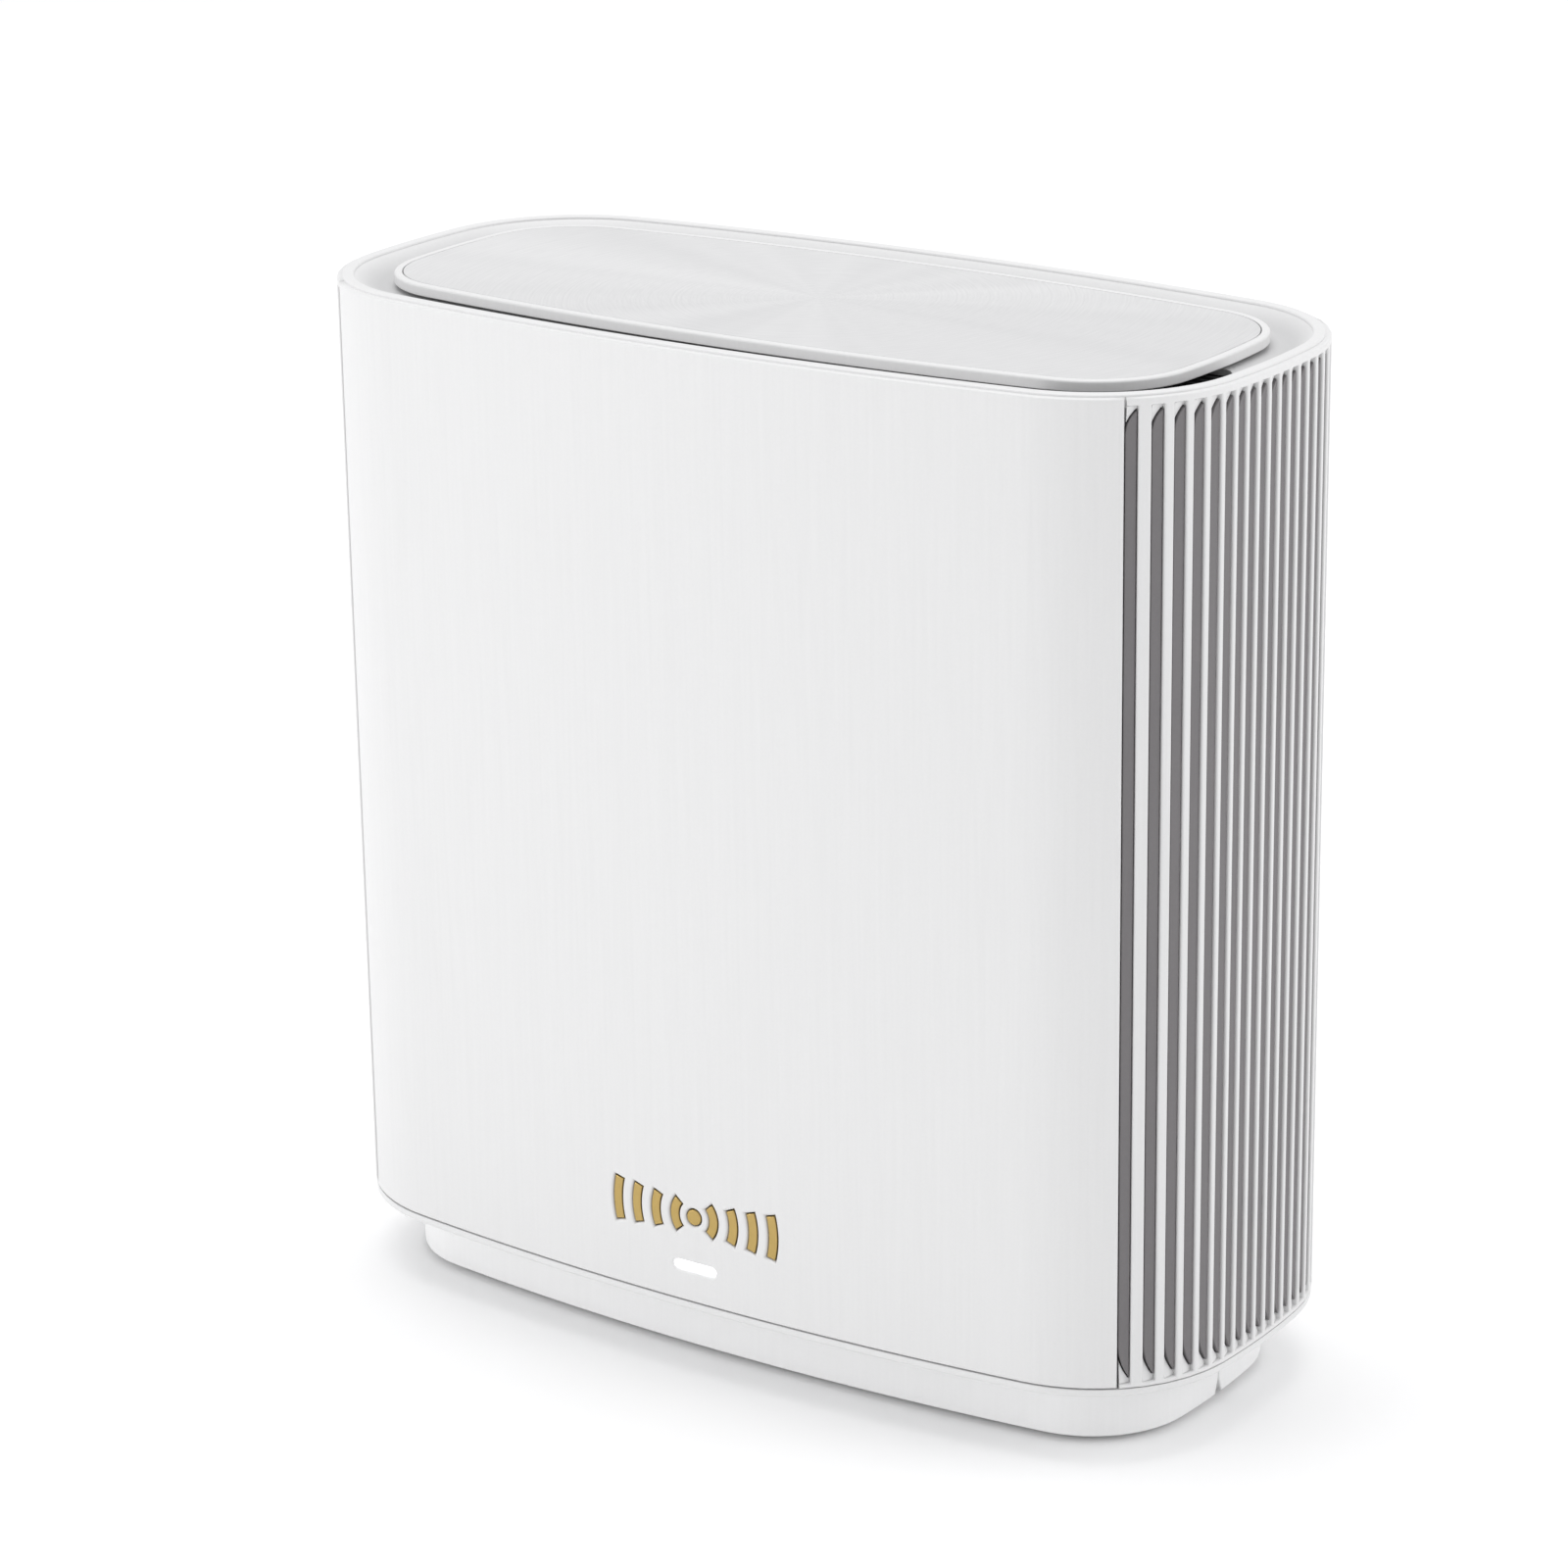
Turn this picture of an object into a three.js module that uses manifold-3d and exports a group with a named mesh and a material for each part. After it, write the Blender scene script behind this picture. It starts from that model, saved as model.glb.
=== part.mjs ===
// Upright wireless router, built as the separate pieces that it comes apart into.
// Millimetres. +X runs along the wide front, the front face looks along -Y, +Z is up,
// and the origin is on the table under the middle of the body.

import * as THREE from 'three';
import { mergeVertices } from 'three/addons/utils/BufferGeometryUtils.js';
import Module from 'manifold-3d';

const wasm = await Module();
wasm.setup();

// ---------------------------------------------------------------- driving sizes

// Body outline, seen from above: bowed front and rear, tight corners, gently bowed ends.
const WIDTH = 160;
const DEPTH = 75;
const HEIGHT = 165;
const FRONT_BOW_RADIUS = 480;
const CORNER_RADIUS = 25;
const END_BOW_RADIUS = 140;

// Shell.
const FIT_GAP = 0.3;
const COVER_WALL = 2.0;
const BODY_BOTTOM = 11.2;
const COVER_TOP_DROP = 0.4;
const SHELF_DROP = 2.0;
const SHELF_LIP = 0.6;

// Side grilles.
const SLOT_COUNT = 20;
const SLOT_PITCH = 2.9;
const SLOT_WIDTH = 2.0;
const SLOT_MARGIN_LOW = 2.6;
const SLOT_MARGIN_HIGH = 1.6;
const SLOT_END_RISE = 4.5;
const LINER_PLATE = 1.2;
const LINER_RIB_RECESS = 0.4;

// Top deck and lid.
const RIM_WIDTH = 1.8;
const MOAT_WIDTH = 3.2;
const MOAT_DEPTH = 1.9;
const DECK_THICKNESS = 3.6;
const LID_INSET = 9.0;
const LID_THICKNESS = 1.6;
const LID_BORDER = 1.2;
const LID_PLATE_THICKNESS = 0.7;
const VENT_INSET = 3.3;
const CORNER_VENT_BEFORE = 12;
const CORNER_VENT_AFTER = 4;
const VENT_PITCH = 9.0;
const VENT_OPENING = 7.2;
const VENT_BRIDGE_HALF = 6;
const VENT_END_MARGIN = 6;
const LID_POST_RADIUS = 2.6;
const LID_POST_COUNT = 4;
const LID_POST_END_MARGIN = 26;
const LID_POST_SEAT = 1.4;
const LID_SCREW_LENGTH = 3.6;

// Plinth, underside and feet.
const PLINTH_INSET = 7.8;
const PLINTH_WALL = 2.2;
const PLINTH_NOTCH = 1.4;
const FOOT_STANDOFF = 1.0;
const FOOT_RADIUS = 5.0;
const FOOT_POCKET = 0.8;
const FOOT_END_MARGIN = 30;
const FOOT_SIDE_MARGIN = 23.5;
const BOTTOM_THICKNESS = 2.2;
const BASE_THICKNESS = 2.0;
const INTAKE_PITCH = 5.2;
const INTAKE_WIDTH = 1.8;
const INTAKE_LENGTH = 16;
const INTAKE_COUNT = 11;
const INTAKE_START = 2;
const INTAKE_RIB = 2.4;
const BASE_VENT_COUNT = 8;
const BASE_VENT_PITCH = 12;
const BASE_VENT_WIDTH = 5;
const BASE_VENT_NEAR = 3;
const BASE_VENT_FAR = 11;

// Rear port bay.
const BAY_END_MARGIN = 2.7;
const BAY_LOW = 15.5;
const BAY_HEIGHT = 22;
const BAY_DEPTH = 13.5;
const BAY_RECESS = 0.4;
const BAY_WALL = 1.6;
const JACK_WIDTH = 15.8;
const JACK_HEIGHT = 13.4;
const JACK_GAP = 0.8;
const JACK_FIRST_X = 1;
const JACK_COUNT = 4;
const SOCKET_WIDTH = 11.8;
const SOCKET_HEIGHT = 8.4;
const SOCKET_DEPTH = 14;
const SOCKET_FLOOR = 1.4;
const LATCH_WIDTH = 6.2;
const LATCH_RISE = 1.8;
const USB_TO_JACK = 3.4;
const USB_WIDTH = 14.4;
const USB_HEIGHT = 7.2;
const USB_SHELL = 0.6;
const USB_BACK = 4;
const TONGUE_MARGIN = 1;
const TONGUE_LOW = 0.4;
const TONGUE_THICKNESS = 1.8;
const POWER_TO_USB = 4.1;
const INLET_TO_POWER = 6.8;
const INLET_SIZE = 10;
const INLET_BORE = 3.2;
const INLET_PIN = 1.0;
const INLET_DEPTH = 11;

// Buttons.
const POWER_CAP_RADIUS = 4.2;
const POWER_CAP_PROUD = 3.0;
const SWITCH_SIZE = 8;
const SWITCH_DEPTH = 10;
const SWITCH_WELL = 5;
const STEM_REACH = 2;
const POWER_FLANGE = 1.2;
const POWER_FLANGE_GROWTH = 1;
const WPS_CAP_RADIUS = 3.0;
const WPS_X = -14;
const RESET_CAP_RADIUS = 1.2;
const RESET_X = 14;
const RESET_RECESS = 1.2;
const KEY_STEM_RADIUS = 1.4;
const KEY_FLANGE_GROWTH = 0.8;
const KEY_FLANGE_THICKNESS = 0.8;
const KEY_BOARD_THICKNESS = 1.2;
const KEY_BOARD_DROP = 2.4;
const KEY_BOARD_HALF_DEPTH = 6;
const KEY_BOARD_MARGIN = 8;
const KEY_SWITCH_SIZE = 6;
const KEY_SWITCH_HEIGHT = 3;
const KEY_SWITCH_WELL = 1.8;
const KEY_STEM_REACH = 0.6;

// Front mark and status light.
const MARK_HEIGHT = 27.0;
const MARK_HALF_WIDTH = 15.5;
const MARK_HALF_HEIGHT = 4.25;
const MARK_STROKE = 1.5;
const MARK_ARCS = 4;
const MARK_DOT_RADIUS = 1.3;
const MARK_RECESS = 0.1;
const MARK_CARRIER = 1.2;
const MARK_BORDER = 1;
const LIGHT_HEIGHT = 18.5;
const LIGHT_WIDTH = 7.6;
const LIGHT_BAR = 1.2;
const LIGHT_FLANGE = 1.5;
const LIGHT_FLANGE_HALF = 2;
const LIGHT_BOARD_HALF_WIDTH = 11;
const LIGHT_BOARD_HALF_HEIGHT = 3.5;
const LIGHT_BOARD_THICKNESS = 1.2;
const LIGHT_CHIP_HALF = 1.5;
const LIGHT_CHIP_HEIGHT = 0.9;

// Boards and what they carry.
const BOARD_THICKNESS = 1.6;
const BOARD_END_MARGIN = 16;
const BOARD_LOW = 15;
const BOARD_TOP_MARGIN = 13.5;
const BOARD_Y = 2;
const SINK_BASE = 2.4;
const SINK_FIN = 7.0;
const SINK_FIN_THICKNESS = 1.4;
const SINK_FIN_COUNT = 9;
const SINK_SIDE_MARGIN = 16;
const SINK_LOW = 48;
const SINK_TOP_MARGIN = 8;
const SHIELD_HEIGHT = 2.6;
const SHIELD_HALF_WIDTH = 36;
const SHIELD_LOW = 60;
const SHIELD_TOP_MARGIN = 18;
const PAD_THICKNESS = 0.8;
const PAD_MARGIN = 4;
const RAIL_END_MARGIN = 12;
const RAIL_OVERLAP = 8;
const FRAME_BAR = 5;
const RAIL_WIDTH = 4;
const RAIL_DEPTH = 10;
const ANTENNA_TO_RAIL = 6;
const ANTENNA_SIDE_MARGIN = 18.5;
const ANTENNA_LENGTH = 66;
const ANTENNA_TOP_MARGIN = 9.5;
const ANTENNA_WIDTH = 9;
const ANTENNA_BOARD = 1.0;
const ANTENNA_ELEMENT = 0.3;
const ANTENNA_ARM = 3;
const ELEMENT_MARGIN = 1.5;

// Fasteners.
const SCREW_SHANK = 1.2;
const SCREW_HEAD = 2.4;
const SCREW_HEAD_HEIGHT = 1.4;
const SCREW_SLOT = 0.7;
const SCREW_SLOT_DEPTH = 0.6;
const SCREW_BOSS = 1.4;
const CASE_SCREW_X = 26;
const CASE_SCREW_SIDE_MARGIN = 21.5;
const CASE_SCREW_BITE = 2;
const BOARD_SCREW_MARGIN = 4;
const BOARD_SCREW_TOP_MARGIN = 5;
const BOARD_SCREW_LOW = 44;
const BOARD_SCREW_LENGTH = 5;

// How far joined shapes sink into each other, and how far cutters run past what they cut.
const WELD = 0.2;
const PAST = 1;

// ---------------------------------------------------------------- materials

function plastic(color, roughness) {
  return new THREE.MeshStandardMaterial({ color, roughness, metalness: 0 });
}

function metal(color, roughness) {
  return new THREE.MeshStandardMaterial({ color, roughness, metalness: 1 });
}

const satinWhite = plastic(0xe9e9ea, 0.45);
const lidWhite = plastic(0xd9dadb, 0.35);
const linerGrey = plastic(0x4f4b4c, 0.6);
const bayGrey = plastic(0x2c2c2e, 0.55);
const gold = metal(0xc4a862, 0.35);
const lightWhite = plastic(0xffffff, 0.2);
const rubberGrey = plastic(0x8c8c8c, 0.9);
const boardGreen = plastic(0x1d4d35, 0.5);
const blackPlastic = plastic(0x1b1b1c, 0.5);
const aluminium = metal(0xb9bbbe, 0.4);
const tinplate = metal(0xc9cac8, 0.3);
const padBlue = plastic(0x7f9db8, 0.8);
const steel = metal(0x9a9c9e, 0.35);
const copper = metal(0xb87b4f, 0.4);

// ---------------------------------------------------------------- solids

const assembly = new THREE.Group();

function toSolid(geometry) {
  const plain = geometry.index ? geometry.toNonIndexed() : geometry.clone();
  plain.deleteAttribute('normal');
  plain.deleteAttribute('uv');
  const merged = mergeVertices(plain, 1e-5);
  const vertProperties = new Float32Array(merged.attributes.position.array);
  const triVerts = new Uint32Array(merged.index.array);
  return new wasm.Manifold(new wasm.Mesh({ numProp: 3, vertProperties, triVerts }));
}

function addPiece(name, solid, material) {
  const mesh = solid.getMesh();
  const geometry = new THREE.BufferGeometry();
  geometry.setAttribute('position', new THREE.BufferAttribute(mesh.vertProperties, 3));
  geometry.setIndex(new THREE.BufferAttribute(mesh.triVerts, 1));
  geometry.computeVertexNormals();
  const piece = new THREE.Mesh(geometry, material.clone());
  piece.name = name;
  assembly.add(piece);
}

function union(solids) {
  return solids.reduce((joined, solid) => joined.add(solid));
}

function box(low, high) {
  const size = high.map((value, axis) => value - low[axis]);
  const geometry = new THREE.BoxGeometry(...size);
  geometry.translate(...low.map((value, axis) => value + size[axis] / 2));
  return toSolid(geometry);
}

const ROUND_SIDES = 24;

// A round bar whose axis is 'x', 'y' or 'z', from one end to the other along that axis.
function bar(axis, centre, from, to, radius, sides = 12) {
  const geometry = new THREE.CylinderGeometry(radius, radius, to - from, sides);
  if (axis === 'z') geometry.rotateX(Math.PI / 2);
  if (axis === 'x') geometry.rotateZ(Math.PI / 2);
  const middle = (from + to) / 2;
  const place = { x: [middle, centre[0], centre[1]], y: [centre[0], middle, centre[1]], z: [...centre, middle] };
  geometry.translate(...place[axis]);
  return toSolid(geometry);
}

function upright(points, low, high) {
  const geometry = new THREE.ExtrudeGeometry(new THREE.Shape(points), { depth: high - low, bevelEnabled: false });
  geometry.translate(0, 0, low);
  return toSolid(geometry);
}

// ---------------------------------------------------------------- body outline

const frontCentre = new THREE.Vector2(0, FRONT_BOW_RADIUS - DEPTH / 2);
const endCentre = new THREE.Vector2(WIDTH / 2 - END_BOW_RADIUS, 0);

// The corner's centre is where circles about the two bow centres meet, so all three arcs are tangent.
function findCornerCentre() {
  const toFront = FRONT_BOW_RADIUS - CORNER_RADIUS;
  const toEnd = END_BOW_RADIUS - CORNER_RADIUS;
  const between = new THREE.Vector2().subVectors(endCentre, frontCentre);
  const distance = between.length();
  const along = (toFront ** 2 - toEnd ** 2 + distance ** 2) / (2 * distance);
  const aside = Math.sqrt(toFront ** 2 - along ** 2);
  const direction = between.normalize();
  const left = new THREE.Vector2(-direction.y, direction.x);
  return frontCentre.clone().addScaledVector(direction, along).addScaledVector(left, aside);
}

const cornerCentre = findCornerCentre();
const cornerFrom = new THREE.Vector2().subVectors(cornerCentre, frontCentre).angle() - 2 * Math.PI;
const cornerTo = new THREE.Vector2().subVectors(cornerCentre, endCentre).angle() - 2 * Math.PI;
const frontLength = FRONT_BOW_RADIUS * (cornerFrom + Math.PI / 2);
const cornerLength = CORNER_RADIUS * (cornerTo - cornerFrom);
const endLength = -END_BOW_RADIUS * cornerTo;
const quarterLength = frontLength + cornerLength + endLength;

// A point of the quarter outline: how far round it is from the middle of the front,
// then moved in square to the wall by the inset.
function quarterPoint(along, inset) {
  let centre = frontCentre;
  let radius = FRONT_BOW_RADIUS;
  let angle = -Math.PI / 2 + along / FRONT_BOW_RADIUS;
  if (along > frontLength) {
    centre = cornerCentre;
    radius = CORNER_RADIUS;
    angle = cornerFrom + (along - frontLength) / CORNER_RADIUS;
  }
  if (along > frontLength + cornerLength) {
    centre = endCentre;
    radius = END_BOW_RADIUS;
    angle = cornerTo + (along - frontLength - cornerLength) / END_BOW_RADIUS;
  }
  const reach = radius - inset;
  return new THREE.Vector2(centre.x + reach * Math.cos(angle), centre.y + reach * Math.sin(angle));
}

// The whole outline, anticlockwise from the middle of the front. One lap is four quarters.
function outlinePoint(along, inset) {
  const lap = 4 * quarterLength;
  const place = ((along % lap) + lap) % lap;
  const quarter = Math.floor(place / quarterLength) % 4;
  const within = place - quarter * quarterLength;
  const mirrored = quarter % 2 === 1;
  const point = quarterPoint(mirrored ? quarterLength - within : within, inset);
  const flipY = quarter === 1 || quarter === 2;
  const flipX = quarter === 2 || quarter === 3;
  return new THREE.Vector2(flipX ? -point.x : point.x, flipY ? -point.y : point.y);
}

// Fixed places round the outline, so that every piece has its facets in the same places.
function outlineStations() {
  const counts = [[0, frontLength, 4], [frontLength, cornerLength, 7], [frontLength + cornerLength, endLength, 2]];
  const quarter = counts.flatMap(([start, length, count]) =>
    Array.from({ length: count }, (_, index) => start + (length * index) / count));
  const back = quarter.slice(1).map((value) => 2 * quarterLength - value).reverse();
  const half = [...quarter, quarterLength, ...back];
  return [...half, ...half.map((value) => value + 2 * quarterLength)];
}

const stations = outlineStations();

function outlineBetween(from, to, inset) {
  const lap = 4 * quarterLength;
  const all = [-1, 0, 1].flatMap((turn) => stations.map((value) => value + turn * lap));
  const inside = all.filter((value) => value > from + 0.2 && value < to - 0.2);
  return [from, ...inside, to].map((along) => outlinePoint(along, inset));
}

function outlineRing(inset) {
  return stations.map((along) => outlinePoint(along, inset));
}

function slab(inset, low, high) {
  return upright(outlineRing(inset), low, high);
}

// A piece of upright wall between two places round the outline.
function wallSector(from, to, outerInset, innerInset, low, high) {
  const outer = outlineBetween(from, to, outerInset);
  const inner = outlineBetween(from, to, innerInset).reverse();
  return upright([...outer, ...inner], low, high);
}

// A full-height slab whose lower rim is chamfered, used as the tool that sinks the moat.
function sunkenTool(inset, width, low, depth) {
  const tool = { depth: HEIGHT, bevelEnabled: true, bevelThickness: depth, bevelSize: width, bevelSegments: 1 };
  const geometry = new THREE.ExtrudeGeometry(new THREE.Shape(outlineRing(inset)), tool);
  geometry.translate(0, 0, low + depth);
  return toSolid(geometry);
}

// ---------------------------------------------------------------- levels

const coverTop = HEIGHT - COVER_TOP_DROP;
const shelfTop = HEIGHT - SHELF_DROP;
const moatFloor = HEIGHT - MOAT_DEPTH;
const deckUnderside = moatFloor - DECK_THICKNESS;
const lidUnderside = HEIGHT - LID_THICKNESS;
const plinthTop = BODY_BOTTOM - FIT_GAP;
const baseTop = BODY_BOTTOM + BASE_THICKNESS;
const bottomTop = FOOT_STANDOFF + BOTTOM_THICKNESS;
const innerInset = COVER_WALL + FIT_GAP;
const linerBack = innerInset + LINER_PLATE;
const seamGap = FIT_GAP / 2;
const boardHigh = deckUnderside - BOARD_TOP_MARGIN;
const boardHalf = WIDTH / 2 - BOARD_END_MARGIN;
const boardBack = BOARD_Y + BOARD_THICKNESS;
const railX = WIDTH / 2 - RAIL_END_MARGIN;
const antennaX = railX - ANTENNA_TO_RAIL;
const antennaY = DEPTH / 2 - ANTENNA_SIDE_MARGIN;
const antennaHigh = deckUnderside - ANTENNA_TOP_MARGIN;
const antennaLow = antennaHigh - ANTENNA_LENGTH;
const lidPostX = spread(WIDTH / 2 - LID_POST_END_MARGIN, LID_POST_COUNT);
const footX = WIDTH / 2 - FOOT_END_MARGIN;
const footY = DEPTH / 2 - FOOT_SIDE_MARGIN;
const footPlaces = [[-footX, -footY], [footX, -footY], [footX, footY], [-footX, footY]];
const caseScrewX = [-CASE_SCREW_X, CASE_SCREW_X];
const caseScrewY = DEPTH / 2 - CASE_SCREW_SIDE_MARGIN;
const boardScrewX = [BOARD_SCREW_MARGIN - boardHalf, boardHalf - BOARD_SCREW_MARGIN];
const boardScrewZ = [boardHigh - BOARD_SCREW_TOP_MARGIN, BOARD_SCREW_LOW];

// Evenly spaced places from minus the reach to plus the reach.
function spread(reach, count) {
  return Array.from({ length: count }, (_, index) => reach * ((2 * index) / (count - 1) - 1));
}

// The covers stop at the near edge of the first slot, which they close on that side.
const coverEdge = slotAlong(0) - SLOT_WIDTH / 2;
const grilleFrom = coverEdge + FIT_GAP;
const grilleTo = 2 * quarterLength - grilleFrom;

// ---------------------------------------------------------------- covers

function coverWall(from, to) {
  const wall = wallSector(from, to, 0, COVER_WALL, BODY_BOTTOM, shelfTop - FIT_GAP);
  const lip = wallSector(from, to, 0, SHELF_LIP, shelfTop - FIT_GAP, coverTop);
  return wall.add(lip);
}

// A flat outline drawn on the front and pushed through the wall along Y.
function frontStroke(points, nearInset, farInset) {
  const thickness = farInset - nearInset;
  const geometry = new THREE.ExtrudeGeometry(new THREE.Shape(points), { depth: thickness, bevelEnabled: false });
  geometry.rotateX(Math.PI / 2);
  geometry.translate(0, -DEPTH / 2 + farInset, 0);
  return toSolid(geometry);
}

function roundedBar(centreX, centreZ, width, height) {
  const shape = new THREE.Shape();
  const radius = height / 2;
  const reach = width / 2 - radius;
  shape.absarc(centreX + reach, centreZ, radius, -Math.PI / 2, Math.PI / 2, false);
  shape.absarc(centreX - reach, centreZ, radius, Math.PI / 2, (3 * Math.PI) / 2, false);
  return shape.getPoints(3);
}

// The mark is a plain broadcast sign: a dot with arcs spreading to the left and right.
function markOutlines(grow) {
  const spacing = (MARK_HALF_WIDTH - MARK_STROKE / 2) / MARK_ARCS;
  const outlines = [];
  const dot = new THREE.Shape();
  dot.absarc(0, MARK_HEIGHT, MARK_DOT_RADIUS + grow, 0, 2 * Math.PI, false);
  outlines.push(dot.getPoints(7).slice(0, -1));
  for (let index = 1; index <= MARK_ARCS; index += 1) {
    const radius = spacing * index;
    const rise = (MARK_HALF_HEIGHT - MARK_STROKE / 2) * (0.55 + (0.45 * index) / MARK_ARCS);
    const half = Math.asin(rise / radius) + grow / radius;
    for (const facing of [0, Math.PI]) {
      const arc = new THREE.Shape();
      arc.absarc(0, MARK_HEIGHT, radius + MARK_STROKE / 2 + grow, facing - half, facing + half, false);
      arc.absarc(0, MARK_HEIGHT, radius - MARK_STROKE / 2 - grow, facing + half, facing - half, true);
      outlines.push(arc.getPoints(3));
    }
  }
  return outlines;
}

function frontCover() {
  let cover = coverWall(-coverEdge, coverEdge);
  const through = COVER_WALL + PAST;
  for (const outline of markOutlines(FIT_GAP)) cover = cover.subtract(frontStroke(outline, -PAST, through));
  const window = roundedBar(0, LIGHT_HEIGHT, LIGHT_WIDTH + 2 * FIT_GAP, LIGHT_BAR + 2 * FIT_GAP);
  return cover.subtract(frontStroke(window, -PAST, through));
}

function rearCover() {
  const cover = coverWall(2 * quarterLength - coverEdge, 2 * quarterLength + coverEdge);
  const half = bayHalfWidth + FIT_GAP;
  const low = [-half, 0, BAY_LOW - FIT_GAP];
  const high = [half, DEPTH, BAY_LOW + BAY_HEIGHT + FIT_GAP];
  return cover.subtract(box(low, high));
}

function markPlate() {
  const carrierInset = COVER_WALL + FIT_GAP;
  const half = MARK_HALF_WIDTH + MARK_BORDER;
  const low = MARK_HEIGHT - MARK_HALF_HEIGHT - MARK_BORDER;
  const high = MARK_HEIGHT + MARK_HALF_HEIGHT + MARK_BORDER;
  const carrier = wallSector(-half, half, carrierInset, carrierInset + MARK_CARRIER, low, high);
  const strokes = markOutlines(0).map((outline) => frontStroke(outline, -PAST, carrierInset + MARK_CARRIER / 2));
  const skin = slab(MARK_RECESS, 0, HEIGHT);
  return carrier.add(union(strokes).intersect(skin));
}

function lightGuide() {
  const outline = roundedBar(0, LIGHT_HEIGHT, LIGHT_WIDTH, LIGHT_BAR);
  const flangeInset = COVER_WALL + FIT_GAP;
  const low = LIGHT_HEIGHT - LIGHT_FLANGE_HALF;
  const high = LIGHT_HEIGHT + LIGHT_FLANGE_HALF;
  const flange = wallSector(-LIGHT_WIDTH, LIGHT_WIDTH, flangeInset, flangeInset + LIGHT_FLANGE, low, high);
  const nose = frontStroke(outline, -PAST, flangeInset + LIGHT_FLANGE / 2).intersect(slab(MARK_RECESS, 0, HEIGHT));
  return nose.add(flange);
}

// ---------------------------------------------------------------- side grilles

// Slots are evenly spaced across the end and stand square to the wall, so they fan out at the corners.
function slotAlong(index) {
  const across = SLOT_PITCH * (index - (SLOT_COUNT - 1) / 2);
  const onEnd = Math.asin(across / END_BOW_RADIUS);
  if (Math.abs(onEnd) <= -cornerTo) return quarterLength + END_BOW_RADIUS * onEnd;
  const side = Math.sign(across);
  const onCorner = Math.asin((across - side * -cornerCentre.y) / CORNER_RADIUS);
  const past = side * onCorner + cornerTo;
  return quarterLength + side * (endLength + CORNER_RADIUS * past);
}

// A slot is a long blade: straight on its far edge, with a curved run-out at both ends of the near edge.
// The same outline, grown by a negative amount, is the rib that stands in the slot.
function slotTool(index, grow, fromInset, toInset) {
  const half = SLOT_WIDTH / 2;
  const bend = (SLOT_END_RISE ** 2 + SLOT_WIDTH ** 2) / (2 * SLOT_WIDTH);
  const centreX = bend - half;
  const radius = bend + grow;
  const sweep = Math.acos((centreX - half - grow) / radius);
  const centreLow = BODY_BOTTOM + SLOT_MARGIN_LOW + SLOT_END_RISE;
  const centreHigh = coverTop - SLOT_MARGIN_HIGH - SLOT_END_RISE;
  const blade = new THREE.Shape();
  blade.absarc(centreX, centreHigh, radius, Math.PI - sweep, Math.PI, false);
  blade.absarc(centreX, centreLow, radius, Math.PI, Math.PI + sweep, false);
  const geometry = new THREE.ExtrudeGeometry(blade, {
    depth: toInset - fromInset,
    bevelEnabled: false,
    curveSegments: 2,
  });
  const along = slotAlong(index);
  const surface = outlinePoint(along, 0);
  const inward = outlinePoint(along, 1).sub(surface);
  geometry.rotateX(Math.PI / 2);
  geometry.translate(0, toInset, 0);
  geometry.rotateZ(Math.atan2(inward.y, inward.x) - Math.PI / 2);
  geometry.translate(surface.x, surface.y, 0);
  return toSolid(geometry);
}

function grilleRight() {
  let panel = coverWall(grilleFrom, grilleTo);
  for (let index = 0; index < SLOT_COUNT; index += 1) {
    panel = panel.subtract(slotTool(index, 0, -PAST, COVER_WALL + PAST));
  }
  return panel;
}

function linerRight() {
  const plateInset = COVER_WALL + FIT_GAP;
  const low = baseTop + FIT_GAP;
  const high = shelfTop - FIT_GAP;
  const plate = wallSector(grilleFrom, grilleTo, plateInset, linerBack, low, high);
  const ribs = [];
  for (let index = 0; index < SLOT_COUNT; index += 1) {
    ribs.push(slotTool(index, -FIT_GAP, -PAST, plateInset + LINER_PLATE / 2));
  }
  return plate.add(union(ribs).intersect(slab(LINER_RIB_RECESS, 0, HEIGHT)));
}

// ---------------------------------------------------------------- top deck and lid

function topDeck() {
  const rimInset = SHELF_LIP + FIT_GAP;
  const rim = slab(rimInset, shelfTop, HEIGHT);
  const body = slab(linerBack + FIT_GAP, deckUnderside, shelfTop + WELD);
  const moat = sunkenTool(rimInset + RIM_WIDTH + MOAT_WIDTH, MOAT_WIDTH, moatFloor, MOAT_DEPTH);
  let deck = rim.add(body).subtract(moat);
  const reach = WIDTH / 2 - VENT_END_MARGIN - VENT_OPENING / 2;
  const count = Math.floor(reach / VENT_PITCH);
  // Two rows of openings hide under the lid, and one opening shows in the moat at the front right corner.
  const openings = [];
  for (const [from, to] of [[-DEPTH / 2, -VENT_BRIDGE_HALF], [VENT_BRIDGE_HALF, DEPTH / 2]]) {
    for (let index = -count; index <= count; index += 1) {
      const middle = index * VENT_PITCH;
      const low = [middle - VENT_OPENING / 2, from, deckUnderside - PAST];
      openings.push(box(low, [middle + VENT_OPENING / 2, to, HEIGHT]));
    }
  }
  deck = deck.subtract(union(openings).intersect(slab(LID_INSET + FIT_GAP, 0, HEIGHT)));
  const ventFrom = frontLength - CORNER_VENT_BEFORE;
  const ventTo = frontLength + cornerLength + CORNER_VENT_AFTER;
  const cornerVent = wallSector(ventFrom, ventTo, VENT_INSET, LID_INSET - FIT_GAP, deckUnderside - PAST, HEIGHT);
  deck = deck.subtract(cornerVent);
  for (const x of lidPostX) {
    deck = deck.subtract(bar('z', [x, 0], deckUnderside + LID_POST_SEAT, HEIGHT, LID_POST_RADIUS + FIT_GAP));
    deck = deck.subtract(bar('z', [x, 0], deckUnderside - PAST, HEIGHT, SCREW_SHANK + FIT_GAP));
  }
  return deck;
}

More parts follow.
